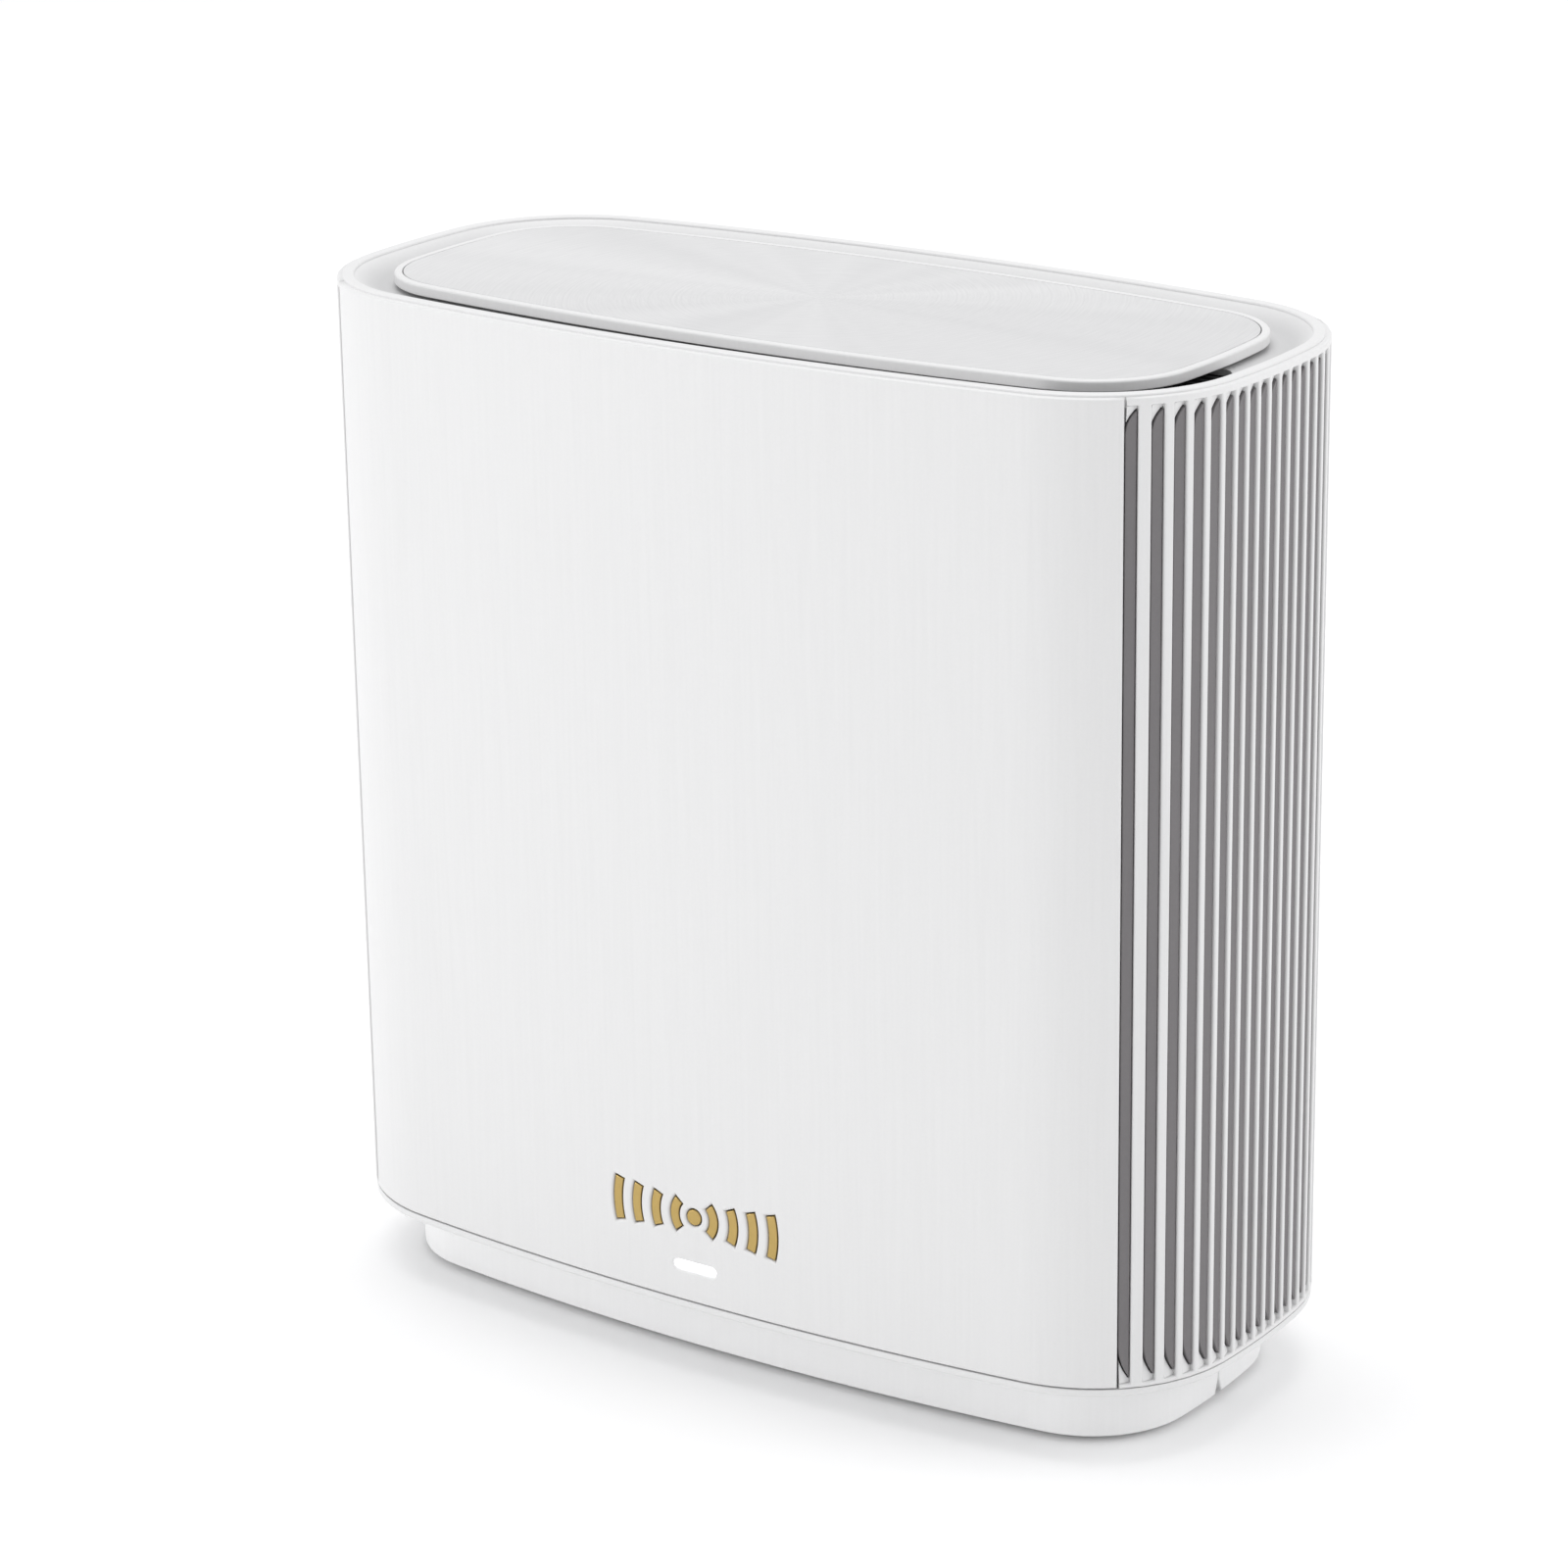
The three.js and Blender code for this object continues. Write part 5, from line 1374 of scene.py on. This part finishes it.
def bay_walls():
    """A rounded lip all round the bay: each step is (out, back from the mouth, lean, rise)."""
    inner = divided(bay_loop(BAY_WALL, 0.9), 3.0)
    steps = [(0.0, None, -1.0, 0.0)]
    for index in range(BAY_RIM_PARTS + 1):
        turn = math.pi / 2 * index / BAY_RIM_PARTS
        lean, rise = math.cos(turn), math.sin(turn)
        steps.append((BAY_RIM * (1 - lean), -BAY_RIM * (1 - rise), -lean, rise))
    for turn in (math.pi / 2, math.pi / 4, 0.0):
        lean, rise = math.cos(turn), math.sin(turn)
        steps.append((BAY_WALL - BAY_RIM * lean, -BAY_RIM * (1 - rise), lean, rise))
    steps.append((BAY_WALL, None, 1.0, 0.0))
    points, normals, faces = [], [], []
    for (u, v), (du, dv, reach) in zip(inner, loop_directions(inner)):
        for out, back, lean, rise in steps:
            x, z = -(u + du * reach * out), v + dv * reach * out
            y = bay_floor_y - BAY_WALL if back is None else mouth_at(x) + back
            points.append((x, y, z))
            normals.append((-du * lean, rise, dv * lean))
    add_strips(faces, len(inner), len(steps), closed=False)
    return make_mesh(
        "port_bay_walls", points, normals, faces, bay_black, slot="bay_black", stands_for="port_bay",
    )


def port_hole(first, last, radius):
    """An opening that clears one port, or a row of ports from the first to the last."""
    low, high = box_mm(first)[0], box_mm(last)[1]
    return rectangle(-high[0] - GAP, low[2] - GAP, -low[0] + GAP, high[2] + GAP, radius)


jacks = ["wan_jack", "lan_jack_1", "lan_jack_2", "lan_jack_3"]
power_x = centre_of("power_button")[0]
POWER_RADIUS = 4.2
bay_walls()
floor_holes = [
    port_hole(jacks[0], jacks[-1], 0.7), port_hole("usb_port", "usb_port", 0.8),
    port_hole("power_inlet", "power_inlet", 1.0), circle(-power_x, bay_middle, POWER_RADIUS + GAP, 48),
]
bay_floor = moulding(
    "port_bay_floor", bay_loop(BAY_WALL / 2), floor_holes, BAY_WALL, 0.2, looking_back(bay_floor_y),
    bay_black, longest=2.0, step=(3.0, 3.0), slot="bay_black",
)
print("bay floor", len(bay_floor.data.vertices), "vertices")


# %% Network jacks
SOCKET_HALF = 5.9
SOCKET_TALL = 8.4
SOCKET_FLOOR = 1.4
SOCKET_DEEP = 14.0
LATCH_HALF = 3.1
LATCH_RISE = 1.8
LAMP_ASIDE = 5.5
LAMP_HALF = (1.3, 0.7)
LAMP_DROP = 1.6
CONTACTS = 8
CONTACT_PITCH = 1.02


def slanted_bar(name, start, stop, half_width, thickness, material):
    """A flat wire between two points, square across X."""
    start, stop = Vector(start), Vector(stop)
    lift = Vector((1, 0, 0)).cross((stop - start).normalized()) * thickness / 2
    aside = Vector((half_width, 0, 0))
    corners = [-aside - lift, aside - lift, aside + lift, -aside + lift]
    points, normals, faces = [], [], []
    add_block(points, normals, faces, *[[end + corner for corner in corners] for end in (start, stop)])
    return make_mesh(name, points, normals, faces, material)


def socket_loop(x, low):
    floor, ceiling = low + SOCKET_FLOOR, low + SOCKET_FLOOR + SOCKET_TALL
    notch = ceiling + LATCH_RISE
    right = [(SOCKET_HALF, floor), (SOCKET_HALF, ceiling), (LATCH_HALF, ceiling), (LATCH_HALF, notch)]
    return [(-x + u, v) for u, v in right] + [(-x - u, v) for u, v in reversed(right)]


def network_jack(node, material):
    low, high = box_mm(node)
    x, face, floor = (low[0] + high[0]) / 2, high[1], low[2] + SOCKET_FLOOR
    lamps = [
        centred(-x + aside, high[2] - LAMP_DROP, *LAMP_HALF, 0.2, 2) for aside in (-LAMP_ASIDE, LAMP_ASIDE)
    ]
    outer = rectangle(-high[0], low[2], -low[0], high[2], 0.4, 3)
    front = moulding(
        node + "_front", outer, [socket_loop(x, low[2])] + lamps, SOCKET_DEEP, 0.22, looking_back(face),
        material, longest=2.0, step=(1.5, 1.5),
    )
    back = moulding(
        node + "_back", outer, [], face - SOCKET_DEEP - low[1], 0.1, looking_back(face - SOCKET_DEEP),
        jack_black, longest=4.0, step=(4.0, 4.0), segments=1,
    )
    joined(node + "_housing", [front, back], node)
    wires = []
    for index in range(CONTACTS):
        across = x + CONTACT_PITCH * (index - (CONTACTS - 1) / 2)
        start, stop = (across, face - 2.4, floor + 0.15), (across, face - 10.5, floor + 3.4)
        wires.append(slanted_bar("wire", start, stop, 0.22, 0.3, contact_gold))
    joined(node + "_contacts", wires)
    windows = [
        moulding(
            "lamp", lamp, [], 1.5, 0.1, looking_back(face - 0.15), lamp_clear, longest=1.0, step=(0.8, 0.8),
            segments=1,
        )
        for lamp in lamps
    ]
    joined(node + "_lamps", windows)


for node in jacks:
    network_jack(node, jack_blue if node == "wan_jack" else jack_black)
print("jacks:", len(jacks))

# %% [markdown]
# The USB port is a folded tin shell round a blue tongue that carries four contacts. The tongue
# hangs in the shell's upper half, as it does on every such port, so a plug only fits one way up.

# %% USB port
USB_WALL = 0.6
USB_FLOOR = 12.5
TONGUE_HALF = (5.6, 0.9)
TONGUE_RISE = 1.3
usb_low, usb_high = box_mm("usb_port")
usb_x, usb_face = centre_of("usb_port")[0], usb_high[1]
usb_outer = rectangle(-usb_high[0], usb_low[2], -usb_low[0], usb_high[2], 0.7, 4)
usb_inner = rectangle(
    -usb_high[0] + USB_WALL, usb_low[2] + USB_WALL, -usb_low[0] - USB_WALL, usb_high[2] - USB_WALL, 0.35, 3,
)
moulding(
    "usb_shell", usb_outer, [usb_inner], 14.0, 0.16, looking_back(usb_face), tinplate,
    longest=2.0, step=(2.0, 2.0), slot="can_metal", stands_for="usb_port",
)
moulding(
    "usb_tongue", centred(-usb_x, bay_middle + TONGUE_RISE, *TONGUE_HALF, 0.3, 2), [], 11.4, 0.14,
    looking_back(usb_face - 1.0), jack_blue, longest=2.0, step=(2.0, 2.0), slot="pad_blue",
)
moulding(
    "usb_back", usb_inner, [], 1.0, 0.1, looking_back(usb_face - USB_FLOOR), jack_black,
    longest=3.0, step=(3.0, 3.0), segments=1, slot="bay_black",
)
contact_level = bay_middle + TONGUE_RISE - TONGUE_HALF[1] - 0.04
usb_wires = []
for offset in (-3.5, -1.0, 1.0, 3.5):
    start, stop = [(usb_x + offset, usb_face - back, contact_level) for back in (2.0, 10.0)]
    usb_wires.append(slanted_bar("wire", start, stop, 0.5, 0.12, contact_gold))
joined("usb_contacts", usb_wires)
print("usb port at x %.1f" % usb_x)

# %% Power inlet and power button
INLET_DEEP = 11.0
BACKWARD = (0, 1, 0)
inlet_low, inlet_high = box_mm("power_inlet")
inlet_x, inlet_face = centre_of("power_inlet")[0], inlet_high[1]
inlet_outer = rectangle(-inlet_high[0], inlet_low[2], -inlet_low[0], inlet_high[2], 0.8, 4)
inlet_body = moulding(
    "power_inlet_housing", inlet_outer, [circle(-inlet_x, bay_middle, 3.2, 40)], INLET_DEEP, 0.3,
    looking_back(inlet_face), jack_black, longest=1.5, step=(1.5, 1.5),
)
inlet_back = moulding(
    "inlet_back", inlet_outer, [], 6.0, 0.1, looking_back(inlet_face - INLET_DEEP), jack_black,
    longest=3.0, step=(3.0, 3.0), segments=1,
)
joined("power_inlet_socket", [inlet_body, inlet_back], "power_inlet")
turned_piece(
    "power_inlet_pin", [(0, 0, 0), (1.0, 0, 0.05), (1.0, 10.6, 0.45), (0, 10.9, 0)],
    (inlet_x, inlet_face - INLET_DEEP - 1.0, bay_middle), BACKWARD, tinplate, sides=32, slot="can_metal",
)

power_low, power_high = box_mm("power_button")
proud = power_high[1] - power_low[1]
COLLAR_BACK, COLLAR_FRONT = proud - 6.3, proud - 5.1
turned_piece(
    "power_cap",
    [(0, 0, 0), (1.4, 0, 0.1), (1.4, COLLAR_BACK, 0.1), (5.2, COLLAR_BACK, 0.1), (5.2, COLLAR_FRONT, 0.1),
     (POWER_RADIUS, COLLAR_FRONT, 0.05), (POWER_RADIUS, proud, 0.5), (3.2, proud, 0.15),
     (2.9, proud - 0.3, 0.3), (0, proud - 0.4, 0)],
    (power_x, power_low[1], bay_middle), BACKWARD, cap_black, sides=64,
    body="power_key", slot="bay_black", stands_for="power_button",
)
print("power cap at x %.1f, proud to y %.1f" % (power_x, power_high[1]))

# %% [markdown]
# ## Inside pieces
# The boards, cans, coolers and antennas keep the frame's own shapes. Each one only gets a finish:
# green solder mask with faint traces, drawn tin, brushed aluminium, copper and black plastic.

# %% Finishes for the frame's own pieces
def solder_mask():
    finish = Finish("board_green", Coat_Weight=0.3, Coat_Roughness=0.2)
    sockets = {"Vector": finish.place(), "Scale": 420.0}
    cells = finish.node("ShaderNodeTexVoronoi", {"feature": "DISTANCE_TO_EDGE"}, sockets)
    lanes = finish.noise(380.0, (1.0, 1.0, 0.12), 1.0)
    trace = (lanes * 9.0 - 4.3).clamped() * 0.6 + (1.0 - (cells * 9.0).clamped()) * 0.25
    cloud = finish.noise(60.0)
    finish.feed(
        Base_Color=finish.mix(trace.clamped(), rgba(0.008, 0.075, 0.035), rgba(0.03, 0.17, 0.07)),
        Roughness=0.32 + cloud * 0.15,
        Normal=finish.bump(trace, 0.3, 0.00004),
    )
    return finish.material


board_green = solder_mask()
inside_finishes = {"base_deck": bottom_white, "inner_frame": bay_black}
for board in ("main", "key", "light"):
    inside_finishes[board + "_board"] = board_green
for side in ("front", "rear"):
    inside_finishes[side + "_shield"] = tinplate
    inside_finishes[side + "_thermal_pad"] = pad_blue
    inside_finishes[side + "_heat_sink"] = sink_metal
for switch in ("power", "pairing", "reset"):
    inside_finishes[switch + "_switch"] = jack_black
for number in range(1, 5):
    inside_finishes["antenna_%d" % number] = antenna_copper
    inside_finishes["board_screw_%d" % number] = screw_steel
    inside_finishes["lid_screw_%d" % number] = screw_steel
for node, material in inside_finishes.items():
    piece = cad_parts[node]
    for place in range(len(piece.data.materials)):
        piece.data.materials[place] = material
shown = [name for name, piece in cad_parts.items() if not piece.hide_render]
bare = [name for name in shown if name not in inside_finishes]
print("frame pieces with a finish:", len(inside_finishes), "without:", bare)

# %% [markdown]
# ## Studio
# A pale floor, four soft lights and a camera a little above and to the right of the front. The
# floor is nearly white, so that it throws light back up on the plinth, and the lowest light
# reaches in under the body.

# %% Floor, lights and camera
FLOOR_HALF = 4.0
CAMERA_TURN, CAMERA_RISE, CAMERA_ROLL = (math.radians(angle) for angle in (34.96, 18.62, -0.87))
CAMERA_DISTANCE = 776.73
CAMERA_ASIDE, CAMERA_ABOVE = -6.43, 6.85
CAMERA_LENS = 113.53
AIM_HEIGHT = 80.0


def soft_panel(name, place, aim, size, power):
    light = bpy.data.lights.new(name, "AREA")
    light.shape = "RECTANGLE"
    light.size, light.size_y = size
    light.energy = power
    panel = bpy.data.objects.new(name, light)
    panel.location = place
    panel.rotation_euler = (Vector(aim) - Vector(place)).to_track_quat("-Z", "Y").to_euler()
    bpy.context.scene.collection.objects.link(panel)


def pale_floor():
    mesh = bpy.data.meshes.new("floor")
    corners = [(*corner, 0.0) for corner in centred(0, 0, FLOOR_HALF, FLOOR_HALF)]
    mesh.from_pydata(corners, [], [(0, 1, 2, 3)])
    floor = bpy.data.objects.new("floor", mesh)
    bpy.context.scene.collection.objects.link(floor)
    finish = Finish("pale_floor", Roughness=0.9)
    finish.feed(Base_Color=finish.mix(finish.noise(3.0), grey(0.965), grey(0.985)))
    mesh.materials.append(finish.material)


def studio_camera():
    """A camera round the upright axis by a turn, up by a rise, and tilted about its view by a roll."""
    level = math.cos(CAMERA_RISE)
    back = Vector((math.sin(CAMERA_TURN) * level, -math.cos(CAMERA_TURN) * level, math.sin(CAMERA_RISE)))
    right = (-back).cross(Vector(UP)).normalized()
    up = right.cross(-back)
    target = Vector((0, 0, AIM_HEIGHT)) + right * CAMERA_ASIDE + up * CAMERA_ABOVE
    turned_right = right * math.cos(CAMERA_ROLL) + up * math.sin(CAMERA_ROLL)
    turned_up = up * math.cos(CAMERA_ROLL) - right * math.sin(CAMERA_ROLL)
    camera = bpy.data.objects.new("camera", bpy.data.cameras.new("camera"))
    camera.data.sensor_width = 36.0
    camera.data.lens = CAMERA_LENS
    camera.data.clip_start = 0.01
    turn = Matrix((turned_right, turned_up, back)).transposed()
    camera.matrix_world = Matrix.Translation((target + back * CAMERA_DISTANCE) * MM) @ turn.to_4x4()
    bpy.context.scene.collection.objects.link(camera)
    bpy.context.scene.camera = camera


pale_floor()
studio_camera()
soft_panel("key_light", (-1.45, -1.15, 0.6), (0, 0, 0.07), (1.3, 1.0), 8.2)
soft_panel("side_light", (1.3, 0.6, 0.8), (0, 0, 0.08), (1.2, 1.2), 8)
soft_panel("low_light", (-0.75, -1.35, 0.16), (0, 0, 0.02), (1.2, 0.28), 2.6)
soft_panel("top_light", (-0.3, 0.2, 1.8), (0, 0, 0.15), (1.6, 1.2), 14)
world = bpy.data.worlds.new("studio")
bpy.context.scene.world = world
world.use_nodes = True
glow = world.node_tree.nodes["Background"]
glow.inputs["Color"].default_value = rgba(0.99, 0.99, 1.0)
glow.inputs["Strength"].default_value = 0.74
bpy.context.scene.view_settings.view_transform = "Standard"
